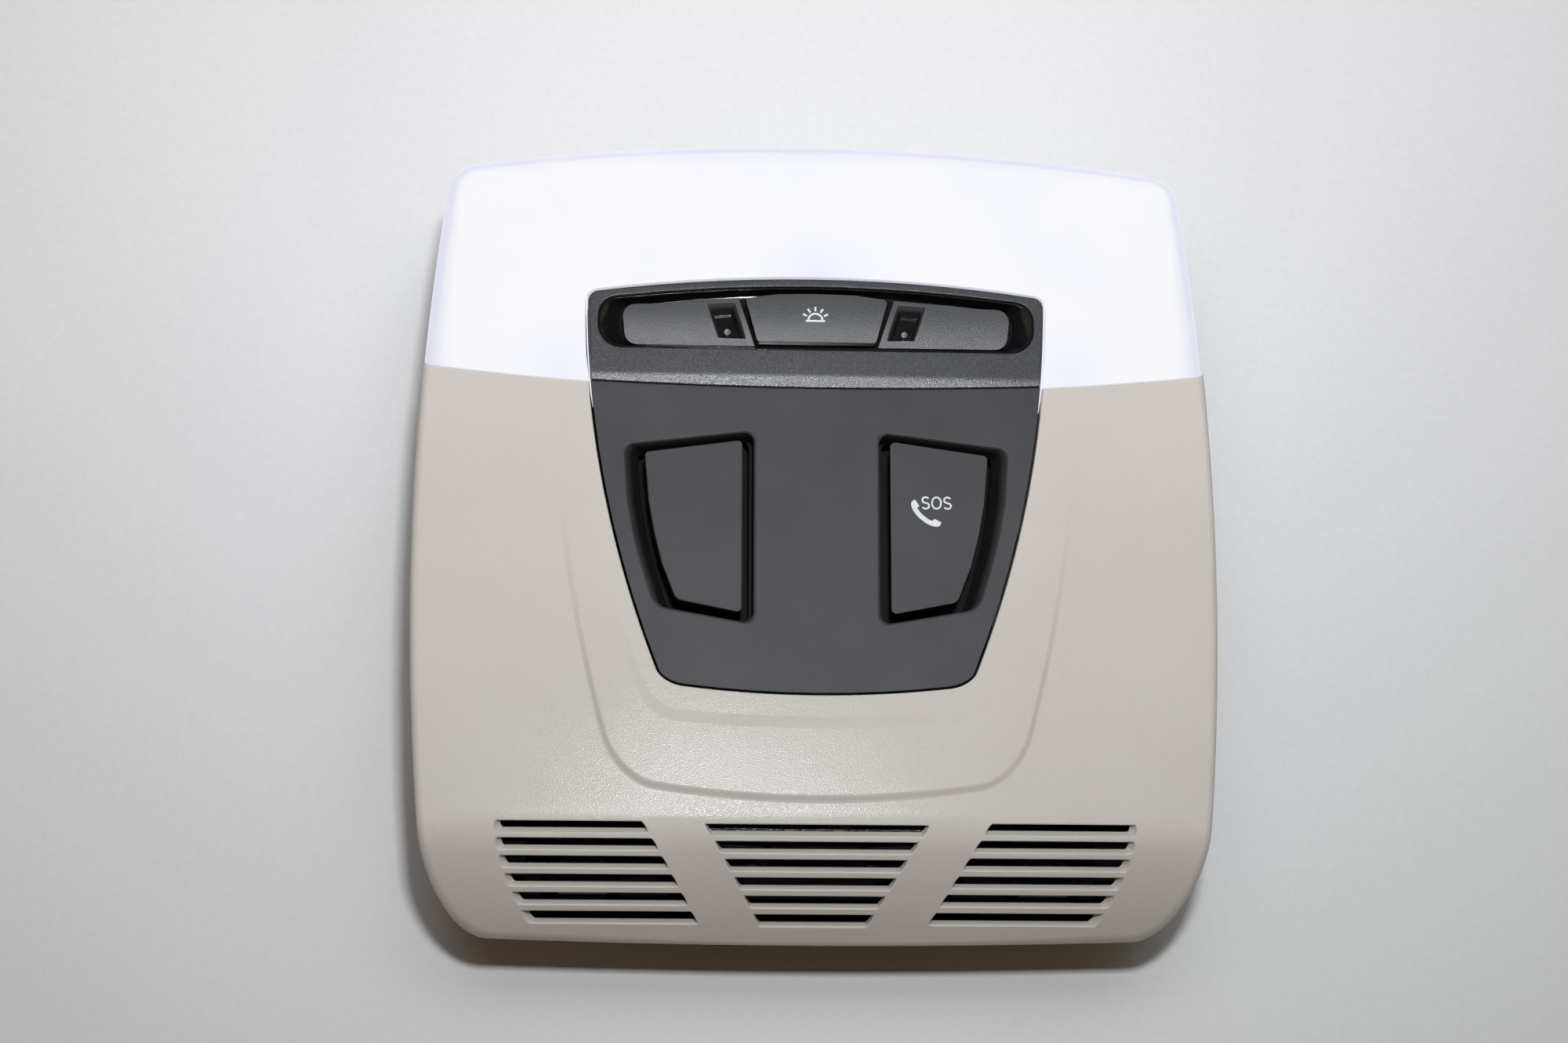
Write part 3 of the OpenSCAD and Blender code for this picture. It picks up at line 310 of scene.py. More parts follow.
finishes = {
    "beige": mouldedPlastic("beigeGrain", {
        "grain": 0.00034, "cloud": 0.05, "dark": (0.512, 0.477, 0.430),
        "light": (0.566, 0.532, 0.485), "rough": (0.42, 0.54), "relief": 0.05, "shine": 0.08,
        "coat": 0.13, "coatRough": 0.15, "granular": True}),
    # its deep band paints shade onto the pocket walls and floors of the panel and tiles
    "softTouch": mouldedPlastic("softTouchGrey", {
        "grain": 0.00035, "cloud": 0.02, "dark": (0.036, 0.036, 0.040),
        "light": (0.053, 0.053, 0.057), "rough": (0.43, 0.55), "relief": 0.06, "shine": 0.26,
        "deep": (0.0553, 0.0532, 0.85)}),
    "coarse": mouldedPlastic("coarseBlack", {
        "grain": 0.00026, "cloud": 0.012, "dark": (0.030, 0.030, 0.033),
        "light": (0.062, 0.063, 0.068), "rough": (0.20, 0.31), "relief": 0.11, "granular": True,
        "fineShare": 0.9}),
    # its deep band paints shade onto the lower sides of the trims, their ports and the button
    "keys": mouldedPlastic("coarseKeys", {
        "grain": 0.00026, "cloud": 0.012, "dark": (0.034, 0.034, 0.037),
        "light": (0.070, 0.072, 0.077), "rough": (0.28, 0.40), "relief": 0.14, "granular": True,
        "fineShare": 0.9, "deep": (0.0559, 0.0551, 0.85)}),
    "gloss": mouldedPlastic("glossBlack", {
        "grain": 0.0009, "cloud": 0.02, "dark": (0.004, 0.004, 0.005),
        "light": (0.009, 0.009, 0.010), "rough": (0.08, 0.16), "relief": 0.004, "coat": 0.6}),
    "housing": mouldedPlastic("housingBlack", {
        "grain": 0.0006, "cloud": 0.03, "dark": (0.014, 0.014, 0.015),
        "light": (0.028, 0.028, 0.029), "rough": (0.48, 0.66), "relief": 0.12}),
    # inner parts behind the grilles are black, made darker still as painted shade inside the
    # cover
    "blackAndShade": mouldedPlastic("innerBlackAndShade", {
        "grain": 0.0005, "cloud": 0.02, "dark": (0.003, 0.0026, 0.0022),
        "light": (0.006, 0.005, 0.0045), "rough": (0.8, 0.95), "relief": 0.1, "shine": 0.08}),
    "tub": mouldedPlastic("tubBlack", {
        "grain": 0.0006, "cloud": 0.02, "dark": (0.006, 0.006, 0.007),
        "light": (0.012, 0.012, 0.013), "rough": (0.6, 0.75), "relief": 0.08, "shine": 0.12}),
    "white": mouldedPlastic("trayWhite", {
        "grain": 0.0005, "cloud": 0.03, "dark": (0.72, 0.72, 0.71), "light": (0.82, 0.82, 0.81),
        "rough": (0.4, 0.55), "relief": 0.05}),
    "ivory": mouldedPlastic("socketIvory", {
        "grain": 0.0005, "cloud": 0.02, "dark": (0.60, 0.56, 0.45), "light": (0.70, 0.66, 0.55),
        "rough": (0.4, 0.5), "relief": 0.05}),
    "red": mouldedPlastic("callRed", {
        "grain": 0.0005, "cloud": 0.01, "dark": (0.42, 0.02, 0.018),
        "light": (0.55, 0.035, 0.03), "rough": (0.3, 0.42), "relief": 0.05}),
    "chip": mouldedPlastic("chipBlack", {
        "grain": 0.0003, "cloud": 0.006, "dark": (0.010, 0.010, 0.011),
        "light": (0.022, 0.022, 0.023), "rough": (0.4, 0.55), "relief": 0.1}),
    "rough": mouldedPlastic("roughStrip", {
        "grain": 0.00034, "cloud": 0.01, "dark": (0.006, 0.006, 0.007),
        "light": (0.014, 0.014, 0.016), "rough": (0.18, 0.26), "relief": 0.3,
        "granular": True}),
    "pipe": mouldedPlastic("lightPipe", {
        "grain": 0.0007, "cloud": 0.004, "dark": (0.03, 0.03, 0.033),
        "light": (0.30, 0.31, 0.33), "rough": (0.14, 0.22), "relief": 0.1, "coat": 0.8,
        "coatRough": 0.14, "fineShare": 1.0}),
    "print": mouldedPlastic("printWhite", {
        "grain": 0.0003, "cloud": 0.004, "dark": (0.56, 0.60, 0.64),
        "light": (0.70, 0.74, 0.78), "rough": (0.5, 0.6), "relief": 0.02}),
    "lens": litLens("milkyLens", {
        "core": (0.97, 0.975, 1.0), "edge": (0.70, 0.74, 0.96), "strength": 0.68,
        "body": (0.21, 0.21, 0.22), "rough": 0.35, "grain": 0.0012, "relief": 0.00002,
        "cloud": 0.03, "cloudy": (0.35, 0.7, -0.06, 0.14), "sideFade": (0.0915, 0.0995, 0, 0.8),
        "rearFade": (0.0951, 0.1021, 0, 0.6), "lowFade": (0.054, 0.046, 0, 1),
        "lipFade": (0.0559, 0.0552, 0, 0.6),
        "dimSpots": ((0, 0.064, 0.016, 0.5), (0.064, 0.040, 0.016, 0.45))}),
    "steel": metalSkin("clipSteel", (0.55, 0.56, 0.58)),
    "screw": metalSkin("screwSteel", (0.62, 0.61, 0.58)),
    "gold": metalSkin("pinGold", (0.83, 0.64, 0.30)),
    "board": circuitBoard("boardGreen", (0.008, 0.06, 0.026)),
    "glass": darkGlass("sensorGlass", (0.0015, 0.0022, 0.005)),
}
print("finishes are mixed")

# pieces that keep their CAD shape

wears = {
    "reflector_tray": "white", "led_board_left": "board", "led_board_right": "board",
    "dome_leds": "ivory", "light_pipe_left": "pipe", "light_pipe_right": "pipe",
    "dome_switch": "chip", "dome_switch_plunger": "chip", "switch_board": "board",
    "board_screws": "screw", "indicator_light_box": "tub", "flap_hinge_pin": "screw",
    "call_button_tub": "tub", "call_button": "red", "call_switch": "chip",
    "call_switch_plunger": "chip", "main_board": "board", "board_parts": "chip",
    "wiring_connector": "ivory", "connector_pins": "gold", "rear_housing": "housing",
    # the parts behind the grilles wear black darkened further as painted shade
    "housing_back": "housing", "grille_shield": "blackAndShade", "pin_bracket_left": "housing",
    "pin_bracket_right": "housing", "sensor_left": "glass", "sensor_right": "glass",
    "sensor_holder_left": "blackAndShade", "sensor_holder_right": "blackAndShade", "microphone_holder": "blackAndShade",
    "microphones": "chip", "spring_clips": "steel", "cover_screws": "screw",
    "front_cover": "beige", "dome_lens": "lens", "fascia_panel": "softTouch",
    "switch_block": "coarse", "gloss_bezel": "gloss", "trim_left": "coarse",
    "trim_right": "coarse", "dome_light_button": "coarse", "indicator_window": "softTouch",
    "call_flap": "softTouch"}


def dressNodes():
    for name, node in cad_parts.items():
        if name not in wears:
            print("no finish for", name)
            continue
        finish = finishes[wears[name]]
        if not node.material_slots:
            node.data.materials.append(finish)
        for slot in node.material_slots:
            slot.material = finish


dressNodes()
print("CAD nodes are dressed")

# shaping tools


def ease(t):
    t = max(0.0, min(1.0, t))
    return t * t * (3 - 2 * t)


def bow(radius, x):  # how far a bowed edge has fallen at x
    return radius - math.sqrt(radius * radius - x * x)


def steps(count, low=0.0, high=1.0):
    return [low + (high - low) * i / count for i in range(count + 1)]


def link(name, mesh):
    piece = bpy.data.objects.new(name, mesh)
    scene.collection.objects.link(piece)
    return piece


def fillRing(bm, ring):
    edges = [bm.edges.get((ring[i - 1], ring[i])) for i in range(1, len(ring))]
    edges.append(bm.edges.get((ring[-1], ring[0])))
    bmesh.ops.triangle_fill(bm, use_beauty=True, edges=edges)


def wallBetween(bm, low, high):
    for i in range(len(low)):
        j = (i + 1) % len(low)
        bm.faces.new((low[i], low[j], high[j], high[i]))


def turnOut(piece):
    bm = bmesh.new()
    bm.from_mesh(piece.data)
    bmesh.ops.recalc_face_normals(bm, faces=bm.faces)
    bm.to_mesh(piece.data)
    bm.free()
    return piece


def loftPiece(name, rings):
    count = len(rings[0])
    points = [Vector(p) * mm for ring in rings for p in ring]
    faces = [(i * count + j, i * count + (j + 1) % count, (i + 1) * count + (j + 1) % count,
              (i + 1) * count + j) for i in range(len(rings) - 1) for j in range(count)]
    faces.append(tuple(range(count - 1, -1, -1)))
    faces.append(tuple((len(rings) - 1) * count + j for j in range(count)))
    mesh = bpy.data.meshes.new(name)
    mesh.from_pydata(points, [], faces)
    return link(name, mesh)


def plain(piece, smoothTo):  # modifiers become part of the mesh
    depsgraph = bpy.context.evaluated_depsgraph_get()
    mesh = bpy.data.meshes.new_from_object(piece.evaluated_get(depsgraph))
    piece.modifiers.clear()
    old = piece.data
    piece.data = mesh
    bpy.data.meshes.remove(old)
    mesh.shade_smooth()
    mesh.set_sharp_from_angle(angle=math.radians(smoothTo))
    return piece


def weigh(piece):
    weighted = piece.modifiers.new("evenShine", "WEIGHTED_NORMAL")
    weighted.keep_sharp = True
    weighted.weight = 100
    return piece


def finishPiece(piece, body, nodes, finish):
    piece.data.materials.clear()
    piece.data.materials.append(finishes[finish])
    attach(piece, body)
    if nodes:
        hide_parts(*nodes)
    return piece


def meshPiece(name, bm, body, finish):
    bmesh.ops.recalc_face_normals(bm, faces=bm.faces)
    mesh = bpy.data.meshes.new(name)
    bm.to_mesh(mesh)
    bm.free()
    return finishPiece(link(name, mesh), body, [], finish)


# shells that keep their CAD outline

trimGap = {"end": 15.45, "endY": 47.5, "lean": 0.27, "near": 0.3, "open": 0.5, "widen": 0.06,
           "widenY": 47}


def widenGap(bm):  # the trim's end stands off the button
    look = trimGap
    for vert in bm.verts:
        x, y = vert.co.x / mm, vert.co.y / mm
        if abs(x) - look["end"] - (y - look["endY"]) * look["lean"] < look["near"]:
            away = look["open"] + look["widen"] * (y - look["widenY"])
            vert.co.x += math.copysign(away, x) * mm


mouth = {"half": 55.6, "front": 43, "rear": 63, "rearRadius": 397, "under": 56.2, "roll": 0.35,
         "segments": 4, "sharp": 0.7}


def onMouth(vert):
    x, y, z = (c / mm for c in vert.co)
    return (z > mouth["under"] and abs(x) < mouth["half"]
            and mouth["front"] < y < mouth["rear"] - bow(mouth["rearRadius"], x))


def rollMouth(bm):
    rim = [edge for edge in bm.edges if len(edge.link_faces) == 2
           and edge.calc_face_angle() > mouth["sharp"] and all(map(onMouth, edge.verts))]
    bmesh.ops.bevel(bm, geom=rim, offset=mouth["roll"] * mm, segments=mouth["segments"],
                    affect="EDGES", profile=0.5)
    print("mouth edge:", len(rim), "edges")


shell = {"merge": 2e-6, "flat": 0.6, "turn": 35, "segments": 3, "smooth": 32}


def dressedCopy(name, node, edge):
    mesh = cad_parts[node].data.copy()
    mesh.name = name
    bm = bmesh.new()
    bm.from_mesh(mesh)
    bmesh.ops.remove_doubles(bm, verts=bm.verts, dist=shell["merge"])
    bmesh.ops.dissolve_limit(bm, angle_limit=math.radians(shell["flat"]), verts=bm.verts,
                             edges=bm.edges)
    if node.startswith("trim"):
        widenGap(bm)
    if node == "switch_block":
        rollMouth(bm)
    bm.to_mesh(mesh)
    bm.free()
    piece = link(name, mesh)
    soften = piece.modifiers.new("softEdge", "BEVEL")
    soften.width = edge * mm
    soften.segments = shell["segments"]
    soften.limit_method = "ANGLE"
    soften.angle_limit = math.radians(shell["turn"])
    soften.use_clamp_overlap = True
    return weigh(plain(piece, shell["smooth"]))


dressed = {
    "domeLens": ("dome_lens", 0.8, "lamp_unit", "milky_lens", "lens"),
    "fasciaPanel": ("fascia_panel", 0.2, "lamp_unit", "panel_grey", "softTouch"),
    "switchBlock": ("switch_block", 0.12, "lamp_unit", "coarse_black", "coarse"),
    "glossBezel": ("gloss_bezel", 0.2, "lamp_unit", "gloss_black", "gloss"),
    "trimLeft": ("trim_left", 0.3, "lamp_unit", "trim_black", "keys"),
    "trimRight": ("trim_right", 0.3, "lamp_unit", "trim_black", "keys"),
    "domeButton": ("dome_light_button", 0.5, "dome_button", "coarse_black", "keys"),
    "indicatorWindow": ("indicator_window", 0.35, "lamp_unit", "tile_grey", "softTouch"),
    "callFlap": ("call_flap", 0.35, "call_lid", "tile_grey", "softTouch")}


def dressShells():
    for name, (node, edge, body, slot, finish) in dressed.items():
        piece = dressedCopy(name, node, edge)
        finishPiece(piece, body, [node], finish)
        print(name, "has", len(piece.data.polygons), "faces")


dressShells()

# front cover

cover = {"halfWidth": 100.8, "frontReach": 102.1, "faceHeight": 56.0, "rim": 32.0,
         "sideRadius": 714.0, "waist": -5.0, "wall": 2.4, "edgeRadius": 2.2, "bendReach": 72.0,
         "bendRadius": 17.4, "bendAngle": 34.0, "slantRadius": 80.0, "ridge": 0.9, "dip": 0.45,
         "flangeDepth": 6.0, "flangeWall": 1.6, "panelHalf": 58.2, "panelRadius": 270.0,
         "panelRear": 62.9, "panelFront": 42.5, "panelBow": 275.0, "panelCorner": (5.5, 5.0),
         "panelGap": 0.65, "seam": 34.6, "seamRadius": 850.0, "seamGap": 0.3, "tip": 40.0,
         "tipOver": 2.2, "cornerPull": 0.56, "outerBow": 2400.0, "outerCorner": (26.0, 14.0),
         "ridgeOut": 7.8, "ridgeBow": (360.0, 260.0), "ridgeCorner": (19.0, 9.0),
         "ridgeReach": 3.15, "ridgeTop": 10.4, "ridgeWide": 1.1, "ridgeFade": (25.0, 80.0),
         "dipOut": (0.9, 4.4), "dipSpread": (20.0, 50.0), "dipReach": 7.5, "dipBow": 416.0,
         "dipCorner": (1.0, 6.0), "dipWide": 1.6, "dipFade": (5.0, 50.0), "lipRound": 0.4,
         "smooth": 40}
coverMesh = {"leg": 36, "corner": 22, "bow": 26, "edge": 9, "top": 22, "step": 8, "lip": 4,
             "under": 20}
bendAngle = math.radians(cover["bendAngle"])
bendRun = cover["bendRadius"] * math.sin(bendAngle)
bendDrop = cover["bendRadius"] * (1 - math.cos(bendAngle))
slantStart = cover["slantRadius"] * math.sin(bendAngle)


def sideX(y):
    return cover["halfWidth"] - bow(cover["sideRadius"], y - cover["waist"])


def panelX(y):
    return cover["panelHalf"] - bow(cover["panelRadius"], cover["panelRear"] - y)


def seamLine(x):
    return cover["seam"] + bow(cover["seamRadius"], x)


def faceZ(y):
    ahead = -cover["bendReach"] - y
    if ahead <= 0:
        return cover["faceHeight"]
    if ahead <= bendRun:
        return cover["faceHeight"] - bow(cover["bendRadius"], ahead)
    slant = ahead - bendRun + slantStart
    return (cover["faceHeight"] - bendDrop - cover["slantRadius"] * math.cos(bendAngle)
            + math.sqrt(cover["slantRadius"] ** 2 - slant ** 2))


def faceSlope(y):
    ahead = -cover["bendReach"] - y
    if ahead <= 0:
        return 0.0
    if ahead <= bendRun:
        return math.asin(ahead / cover["bendRadius"])
    return math.asin((ahead - bendRun + slantStart) / cover["slantRadius"])


def underZ(y):
    return faceZ(y) - cover["wall"] / math.cos(faceSlope(y))


def along(leg, corner, front, apexY, frontBow, s):  # s: 0 to 1 leg, to 2 corner, to 3 bow
    cornerY, cornerIn = front + corner[0], corner[1]
    if s <= 1:
        y = tipY + (cornerY - tipY) * s
        return Vector((leg(y), y))
    endX = leg(apexY + bow(frontBow, leg(cornerY) - cornerIn)) - cornerIn
    if s > 2:
        x = endX * (3 - s)
        return Vector((x, apexY + bow(frontBow, x)))
    a = Vector((leg(cornerY), cornerY))  # the corner bends from the leg to the bow
    b = Vector((endX, apexY + bow(frontBow, endX)))
    lean = leg(cornerY + 0.5) - leg(cornerY - 0.5)
    run = endX / math.sqrt(frontBow ** 2 - endX ** 2)
    meetY = (b.y + run * (a.x - b.x - lean * a.y)) / (1 - run * lean)
    meet = Vector((a.x + lean * (meetY - a.y), meetY))
    t = s - 1
    pull = cover["cornerPull"]
    return (a * (1 - t) ** 3 + a.lerp(meet, pull) * 3 * t * (1 - t) ** 2
            + b.lerp(meet, pull) * 3 * t * t * (1 - t) + b * t ** 3)


tipX = sideX(cover["tip"])
tipY = seamLine(tipX) + cover["tipOver"]


def outerLine(s):
    front = -cover["frontReach"]
    return along(sideX, cover["outerCorner"], front, front, cover["outerBow"], s)


def ridgeLine(s):
    legBow, frontBow = cover["ridgeBow"]
    bend = -cover["bendReach"]

    def leg(y):
        return (cover["panelHalf"] + cover["ridgeOut"]
                - bow(legBow, cover["seam"] + cover["ridgeTop"] - y))

    return along(leg, cover["ridgeCorner"], bend, bend + cover["ridgeReach"], frontBow, s)


def dipLine(s):
    (near, far), (spreadTop, spreadRun) = cover["dipOut"], cover["dipSpread"]
    front = -cover["panelFront"]

    def leg(y):
        return panelX(y) + cover["panelGap"] + near + far * ease((spreadTop - y) / spreadRun)

    return along(leg, cover["dipCorner"], front, front - cover["dipReach"], cover["dipBow"], s)


def panelLine(s):
    grow, front = cover["panelGap"], -cover["panelFront"]
    return along(lambda y: panelX(y) + grow, cover["panelCorner"], front, front - grow,
                 cover["panelBow"] + grow, s)


def coverSection(s):  # one closed ring through the cover's wall
    o, rl, dl, p = outerLine(s), ridgeLine(s), dipLine(s), panelLine(s)
    in1, in2, in3 = (rl - o).normalized(), (dl - rl).normalized(), (p - dl).normalized()
    (ridgeEnd, ridgeRun), (dipEnd, dipRun) = cover["ridgeFade"], cover["dipFade"]
    rise = cover["ridge"] * ease((ridgeEnd - rl.y) / ridgeRun)
    dip = cover["dip"] * ease((dipEnd - dl.y) / dipRun)
    wide = min(cover["dipWide"], (p - dl).length * 0.5)
    edge = min(cover["edgeRadius"], faceZ(o.y) - cover["rim"] - 0.5)
    small = cover["lipRound"]
    wall = o + in1 * cover["wall"]
    well = p - in3 * cover["flangeWall"]
    lip = cover["faceHeight"] + rise - dip
    ring = [(o.x, o.y, cover["rim"])]

    def top(q, lift):
        ring.append((q.x, q.y, faceZ(q.y) + lift))

    for a in steps(coverMesh["edge"], 0, math.pi / 2):
        top(o + in1 * edge * (1 - math.cos(a)), -edge * (1 - math.sin(a)))
    near = edge / max(edge + 1, (rl - o).length)
    for f in steps(coverMesh["top"], near, 1.0)[1:-1]:
        top(o + (rl - o) * f, 0)
    for f in steps(coverMesh["step"], -1, 1):
        share = 0.5 + 0.5 * math.sin(f * math.pi / 2)
        top(rl + in2 * f * cover["ridgeWide"], rise * share)
    for f in (0.3, 0.5, 0.7):
        top(rl + (dl - rl) * f, rise)
    for f in steps(coverMesh["step"], -1, 1):
        share = 0.5 + 0.5 * math.sin(f * math.pi / 2)
        top(dl + (in2 if f < 0 else in3) * wide * f, rise - dip * share)
    for a in steps(coverMesh["lip"], 0, math.pi / 2):
        q = p - in3 * small * (1 - math.sin(a))
        ring.append((q.x, q.y, lip - small * (1 - math.cos(a))))
    ring.append((p.x, p.y, cover["faceHeight"] - cover["flangeDepth"]))
    ring.append((well.x, well.y, cover["faceHeight"] - cover["flangeDepth"]))
    for f in steps(coverMesh["under"]):
        q = well + (wall - well) * f
        ring.append((q.x, q.y, underZ(q.y)))
    ring.append((wall.x, wall.y, cover["rim"]))
    return ring


def coverShell():
    half = (steps(coverMesh["leg"])[:-1] + steps(coverMesh["corner"], 1, 2)[:-1]
            + steps(coverMesh["bow"], 2, 3))
    right = [coverSection(s) for s in half]
    left = [[(-x, y, z) for x, y, z in ring] for ring in right]
    return loftPiece("frontCover", left + right[-2::-1])


def rounded(corners, parts):
    points = []
    for i, (x, y, r) in enumerate(corners):
        p = Vector((x, y))
        if r == 0:
            points.append(p)
            continue
        u = (Vector(corners[i - 1][:2]) - p).normalized()
        v = (Vector(corners[(i + 1) % len(corners)][:2]) - p).normalized()
        half = math.acos(max(-1, min(1, u.dot(v)))) / 2
        c = p + (u + v).normalized() * r / math.sin(half)
        a = p + u * r / math.tan(half) - c
        b = p + v * r / math.tan(half) - c
        a0 = math.atan2(a.y, a.x)
        turn = (math.atan2(b.y, b.x) - a0 + 3 * math.pi) % (2 * math.pi) - math.pi
        points += [c + r * Vector((math.cos(a0 + turn * k), math.sin(a0 + turn * k)))
                   for k in steps(parts)]
    return points


notch = {"inner": 0.6, "outer": 10.8, "tipIn": 0.5, "tipRound": 4, "roundParts": 10,
         "beyond": 120, "shoulder": 90, "levels": (30, 62), "seamParts": 12}


def notchCutter():  # takes the lens's room out of the cover
    grow = cover["seamGap"] / 2
    edge = cover["panelHalf"] + cover["ridgeOut"]
    out = cover["halfWidth"] - notch["outer"]
    far = notch["beyond"]
    right = [(panelX(cover["seam"]) + notch["inner"] - grow,
              seamLine(cover["panelHalf"]) - grow, 0)]
    right += [(x, seamLine(x) - grow, 0) for x in steps(notch["seamParts"], edge, out)]
    right += [(tipX - notch["tipIn"], seamLine(tipX) - grow, notch["tipRound"]),
              (far, notch["shoulder"], 0), (far, far, 0)]
    left = [(-x, y, r) for x, y, r in right[::-1]]
    outline = rounded(right + left, notch["roundParts"])
    return turnOut(loftPiece("lensNotch",
                             [[(p.x, p.y, z) for p in outline] for z in notch["levels"]]))


class Sum:  # writes Math nodes as plain arithmetic
    def __init__(self, tree, value):
        self.tree, self.value = tree, value

    def node(self, how, *terms):
        node = self.tree.nodes.new("ShaderNodeMath")
        node.operation = how
        for index, term in enumerate((self,) + terms):
            value = term.value if isinstance(term, Sum) else term
            if isinstance(value, (int, float)):
                node.inputs[index].default_value = value
            else:
                self.tree.links.new(value, node.inputs[index])
        return Sum(self.tree, node.outputs[0])

    def __add__(self, other):
        return self.node("ADD", other)

    def __sub__(self, other):
        return self.node("SUBTRACT", other)

    def __mul__(self, other):
        return self.node("MULTIPLY", other)

    def __truediv__(self, other):
        return self.node("DIVIDE", other)

    def floor(self, low):
        return self.node("MAXIMUM", low)

    def roof(self, high):
        return self.node("MINIMUM", high)

    def sine(self):
        return self.node("SINE")

    def cosine(self):
        return self.node("COSINE")

    def root(self):
        return self.node("SQRT")

    def arcsine(self):
        return self.node("ARCSINE")


grille = {"Rows": 6, "Pitch": 4.08, "Opening": 2.6, "Lip": 0.4, "Tilt": 36.0, "Depth": 9.0}
slotMesh = {"X": 15, "Y": 9, "Z": 8}  # points along, across and down a slot
slotLip = {"parts": 5, "turn": 16}
grilleEnds = {
    "leftGrille": {
        "First Row": 74.6, "Left End": -78.4, "Left Lean": 0.0, "Left Bow": 1 / 66,
        "Left Round": 0.6, "Left Slope": 0.6, "Right End": -42.6, "Right Lean": 0.61,
        "Right Bow": 0.0, "Right Round": 0.35, "Right Slope": 0.0},
    "middleGrille": {
        "First Row": 75.1, "Left End": -27.5, "Left Lean": 0.61, "Left Bow": 0.0,
        "Left Round": 0.35, "Left Slope": 0.0, "Right End": 27.5, "Right Lean": -0.61,
        "Right Bow": 0.0, "Right Round": 0.35, "Right Slope": 0.0},
    "rightGrille": {
        "First Row": 74.6, "Left End": 42.6, "Left Lean": -0.61, "Left Bow": 0.0,
        "Left Round": 0.35, "Left Slope": 0.0, "Right End": 78.4, "Right Lean": 0.0,
        "Right Bow": -1 / 66, "Right Round": 0.6, "Right Slope": 0.6}}


def louvreTree():
    tree = bpy.data.node_groups.new("cutLouvres", "GeometryNodeTree")
    face = tree.interface
    face.new_socket("Geometry", in_out="INPUT", socket_type="NodeSocketGeometry")
    names = list(grille) + list(grilleEnds["leftGrille"])
    for name in names:
        kind = "NodeSocketInt" if name == "Rows" else "NodeSocketFloat"
        face.new_socket(name, in_out="INPUT", socket_type=kind)
    face.new_socket("Finish", in_out="INPUT", socket_type="NodeSocketMaterial")
    face.new_socket("Geometry", in_out="OUTPUT", socket_type="NodeSocketGeometry")
    new, join = tree.nodes.new, tree.links.new
    entry, leave = new("NodeGroupInput"), new("NodeGroupOutput")
    given = {name: Sum(tree, entry.outputs[name]) for name in names}

    cube = new("GeometryNodeMeshCube")  # one slot, shaped further down
    cube.inputs["Size"].default_value = (1, 1, 1)
    for axis, count in slotMesh.items():
        cube.inputs["Vertices " + axis].default_value = count
    share = new("GeometryNodeCaptureAttribute")
    share.capture_items.new("VECTOR", "share")
    join(cube.outputs["Mesh"], share.inputs["Geometry"])
    join(new("GeometryNodeInputPosition").outputs[0], share.inputs["share"])
    rows = new("GeometryNodeMeshLine")
    join(entry.outputs["Rows"], rows.inputs["Count"])
    row = new("GeometryNodeCaptureAttribute")
    row.capture_items.new("INT", "row")
    join(rows.outputs["Mesh"], row.inputs["Geometry"])
    join(new("GeometryNodeInputIndex").outputs[0], row.inputs["row"])
    copies = new("GeometryNodeInstanceOnPoints")
    join(row.outputs["Geometry"], copies.inputs["Points"])
    join(share.outputs["Geometry"], copies.inputs["Instance"])
    single = new("GeometryNodeRealizeInstances")
    join(copies.outputs["Instances"], single.inputs["Geometry"])

    axes = new("ShaderNodeSeparateXYZ")
    join(share.outputs["share"], axes.inputs[0])
    u = Sum(tree, axes.outputs["X"]) + 0.5
    across = Sum(tree, axes.outputs["Y"]) * math.pi
    level = (Sum(tree, axes.outputs["Z"]) + 0.5) * (slotMesh["Z"] - 1)
    rounding = (level - 1).floor(0).roof(slotLip["parts"])
    turn = (rounding * -slotLip["turn"] + 90) * (math.pi / 180)
    spreadOut = (turn.sine() * -1 + 1) * given["Lip"]
    down = (turn.cosine() * -1 + 1) * given["Lip"]
    lift = (level - slotLip["parts"] - 1).floor(0)
    deep = (level * -1 + 1).floor(0) * given["Depth"]
    side = across.sine()
    ahead = (given["First Row"] + Sum(tree, row.outputs["row"]) * given["Pitch"]
             + given["Opening"] * 0.5 - side * given["Opening"] * 0.5)

    def slopeAt(reach):
        run = reach - cover["bendReach"]
        bend = (run.floor(0).roof(bendRun) / cover["bendRadius"]).arcsine()
        slant = ((run - bendRun).floor(0) + slantStart) / cover["slantRadius"]
        return bend + slant.arcsine() - bendAngle

    def heightAt(reach):
        run = reach - cover["bendReach"]
        bent = run.floor(0).roof(bendRun)
        fall = ((bent * bent) * -1 + cover["bendRadius"] ** 2).root() * -1 + cover["bendRadius"]
        slant = (run - bendRun).floor(0) + slantStart
        tail = ((slant * slant) * -1 + cover["slantRadius"] ** 2).root()
        return (fall * -1 + tail
                + (cover["faceHeight"] - cover["slantRadius"] * math.cos(bendAngle)))

    reach = ahead - side * spreadOut * slopeAt(ahead).cosine()
    slope = slopeAt(reach)
    height = heightAt(reach) - down * slope.cosine() + lift
    beyond = reach - given["First Row"]
    pull = across.cosine() * -1 + 1
    ends = []
    for end, way in (("Left", 1), ("Right", -1)):
        ends.append(given[end + " End"] + given[end + " Lean"] * beyond
                    + given[end + " Bow"] * beyond * beyond
                    + pull * given[end + " Round"] * way - spreadOut * way
                    + deep * given[end + " Slope"] * way)
    x = ends[0] + (ends[1] - ends[0]) * u
    tilt = given["Tilt"] * (math.pi / 180)
    y = reach * -1 + down * slope.sine() + deep * tilt.sine()
    z = height - deep * tilt.cosine()
    place = new("ShaderNodeCombineXYZ")
    for socket, term in zip(place.inputs, (x * mm, y * mm, z * mm)):
        join(term.value, socket)
    move = new("GeometryNodeSetPosition")
    join(single.outputs["Geometry"], move.inputs["Geometry"])
    join(place.outputs[0], move.inputs["Position"])

